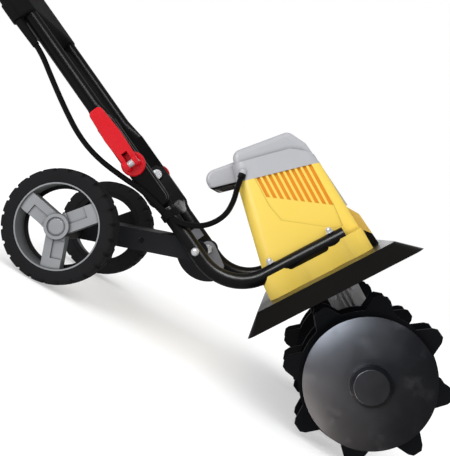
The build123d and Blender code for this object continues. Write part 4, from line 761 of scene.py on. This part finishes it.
def buildGrip():
    shape = gripShape
    along = np.linspace(-1, 1, shape["rows"])[:, None]
    turn = np.linspace(0, tau, shape["around"], endpoint=False)
    rolled = np.sqrt(1 - ramp(np.abs(along), shape["rollFrom"], 1 - shape["rollFrom"]) ** 2)
    wall = shape["radius"] - shape["bore"] - shape["inset"]
    rings = shape["ripple"] * np.sin(along * shape["ringTurns"])
    radius = shape["bore"] + (wall + rings) * rolled
    points = spunPoints(onHandle(shape["reach"], 0, 0), radius, along * shape["half"], turn)
    faces, uvs = gridFaces(len(along), len(turn), closeColumns=True)
    grip = meshFromArrays("foam_grip_sleeve", points, faces, uvs)
    paint(grip, "foam")
    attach(grip, "handle")
    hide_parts("foam_grip")


buildGrip()
print("grip made")

white = (1.0, 1.0, 1.0)
# pale floor under the parked machine, in metres, which counts for less in a mirror
floorLook = {"half": 9.0, "lines": 7, "drop": 0.0005, "shade": 0.62, "glow": 0.42, "mirrored": 0.3,
             "rough": 0.9, "shine": 0.1}


def layFloor():
    look = floorLook
    grid = np.linspace(-look["half"], look["half"], look["lines"])
    x, y = np.meshgrid(grid, grid, indexing="ij")
    points = np.stack([x, y, np.full_like(x, -look["drop"])], -1)
    faces = gridFaces(look["lines"], look["lines"])[0]
    floor = meshFromArrays("studioFloor", points, faces[:, ::-1])
    pale = bpy.data.materials.new("paleFloor")
    pale.use_nodes = True
    tree = pale.node_tree
    coat = tree.nodes["Principled BSDF"]
    coat.inputs["Roughness"].default_value = look["rough"]
    coat.inputs["Specular IOR Level"].default_value = look["shine"]
    coat.inputs["Emission Color"].default_value = (*white, 1.0)
    glossy = tree.nodes.new("ShaderNodeLightPath").outputs["Is Glossy Ray"]
    for label, value in (("Base Color", look["shade"]), ("Emission Strength", look["glow"])):
        feed(tree, swapOn(tree, glossy, value, value * look["mirrored"]), coat.inputs[label])
    floor.data.materials.append(pale)


# sky: white to look at, dimmer as a light and darker in a mirror, most so on the camera's own side
skyLook = {"seen": 1.0, "lit": 0.74, "ahead": (-0.3, 0.6), "mirrored": (0.12, 0.22)}


def hangSky():
    sky = bpy.data.worlds.new("studioSky")
    sky.use_nodes = True
    tree = sky.node_tree
    ahead = tree.nodes.new("ShaderNodeVectorMath")
    ahead.operation = "DOT_PRODUCT"
    ahead.inputs[1].default_value = viewForward
    feed(tree, tree.nodes.new("ShaderNodeTexCoord").outputs["Generated"], ahead.inputs[0])
    mirrored = mapRange(tree, ahead.outputs["Value"], skyLook["ahead"], skyLook["mirrored"])
    ray = tree.nodes.new("ShaderNodeLightPath").outputs
    strength = swapOn(tree, ray["Is Glossy Ray"], skyLook["lit"], mirrored)
    strength = swapOn(tree, ray["Is Camera Ray"], strength, skyLook["seen"])
    backdrop = tree.nodes["Background"]
    backdrop.inputs["Color"].default_value = (*white, 1.0)
    feed(tree, strength, backdrop.inputs["Strength"])
    bpy.context.scene.world = sky
    bpy.context.scene.view_settings.view_transform = "Standard"


lampTarget = (0.0, 0.0, 230.0)  # in the level machine's millimetres
level = (1.0, 0.0)  # a long side that runs along the camera's right
# lamps by their place from the target in the camera's right, up and forward, in metres, and the way
# of their long side in its right and up, level unless given; a lamp that names pieces is only a
# shine on them, and the others light everything but show in no mirror; nothing else shades a
# shadeless one
lampPlan = {
    "softBox": {"power": 3.0, "size": (0.6, 0.45), "away": (-0.75, 0.65, -0.85)},
    "rightFill": {"power": 2.2, "size": (0.9, 0.9), "away": (1.0, -0.05, -0.8)},
    "shellBox": {"power": 26.0, "size": (0.3, 0.9), "away": (-0.9, 0.3, -0.8),
                 "lights": ("motor_housing", "motor_hood")},
    "guardBox": {"power": 8.0, "size": (2.2, 0.8), "away": (-0.15, 0.45, 1.5),
                 "lights": ("tine_guard",)},
    "tubeStrip": {"power": 30.0, "size": (1.6, 0.3), "away": (-0.25, 0.75, -0.8),
                  "along": (0.889, 0.458), "lights": ("lower_tube_right", "lower_tube_left")},
    "handleStrip": {"power": 13.0, "size": (1.6, 0.3), "away": (0.5, 0.6, -0.8),
                    "along": (0.568, -0.823),
                    "lights": ("upper_handle", "lower_tube_right", "lower_tube_left")},
    "boltBox": {"power": 9.0, "size": (0.4, 0.4), "away": (-0.3, 0.6, -1.0),
                "lights": ("frame_bolts", "cam_bolts", "gearbox_bolts", "gearbox_right",
                           "pivot_strap", "wheel_rim_right", "hubcap_right", "axle_nuts")},
    "discBox": {"power": 66.0, "size": (0.42, 0.42), "away": (-0.29, 0.18, -0.95),
                "lights": ("side_disc_right",), "colour": (0.80, 0.87, 1.0)},
    "floorGlow": {"power": 68.0, "size": (0.32, 0.32), "away": (-0.50, -0.66, -0.75),
                  "lights": ("side_disc_right",), "colour": (1.0, 0.90, 0.88), "shadeless": True},
}
softSun = {"power": 1.5, "spread": 80.0, "away": (0.12, 1.0, -0.5)}


def placeLamp(name, light, plan):
    target = onMachine(*lampTarget)
    right, up, forward = plan["away"]
    spot = target + viewRight * right + viewUp * up + viewForward * forward
    back = unit(spot - target)
    along, rise = plan.get("along", level)
    side = viewRight * along + viewUp * rise
    side = unit(side - back * (side @ back))
    lamp = addObject(name, light)
    lamp.matrix_world = standing(spot, side, np.cross(back, side), back)
    lamp.visible_glossy = "lights" in plan
    return lamp


def hangLamps():
    for name, plan in lampPlan.items():
        light = bpy.data.lights.new(name, "AREA")
        light.shape = "RECTANGLE"
        light.energy = plan["power"]
        light.color = plan.get("colour", white)
        light.size, light.size_y = plan["size"]
        lamp = placeLamp(name, light, plan)
        lamp.visible_camera = False
        lamp.visible_diffuse = "lights" not in plan
        if "lights" in plan:
            lamp.light_linking.receiver_collection = bpy.data.collections.new(name + "Pieces")
            for node in plan["lights"]:
                lamp.light_linking.receiver_collection.objects.link(finished[node])
        if "shadeless" in plan:
            lamp.light_linking.blocker_collection = lamp.light_linking.receiver_collection
    sun = bpy.data.lights.new("softSun", "SUN")
    sun.energy = softSun["power"]
    sun.angle = radians(softSun["spread"])
    placeLamp("softSun", sun, softSun)


layFloor()
hangSky()
hangLamps()
print("studio lit")
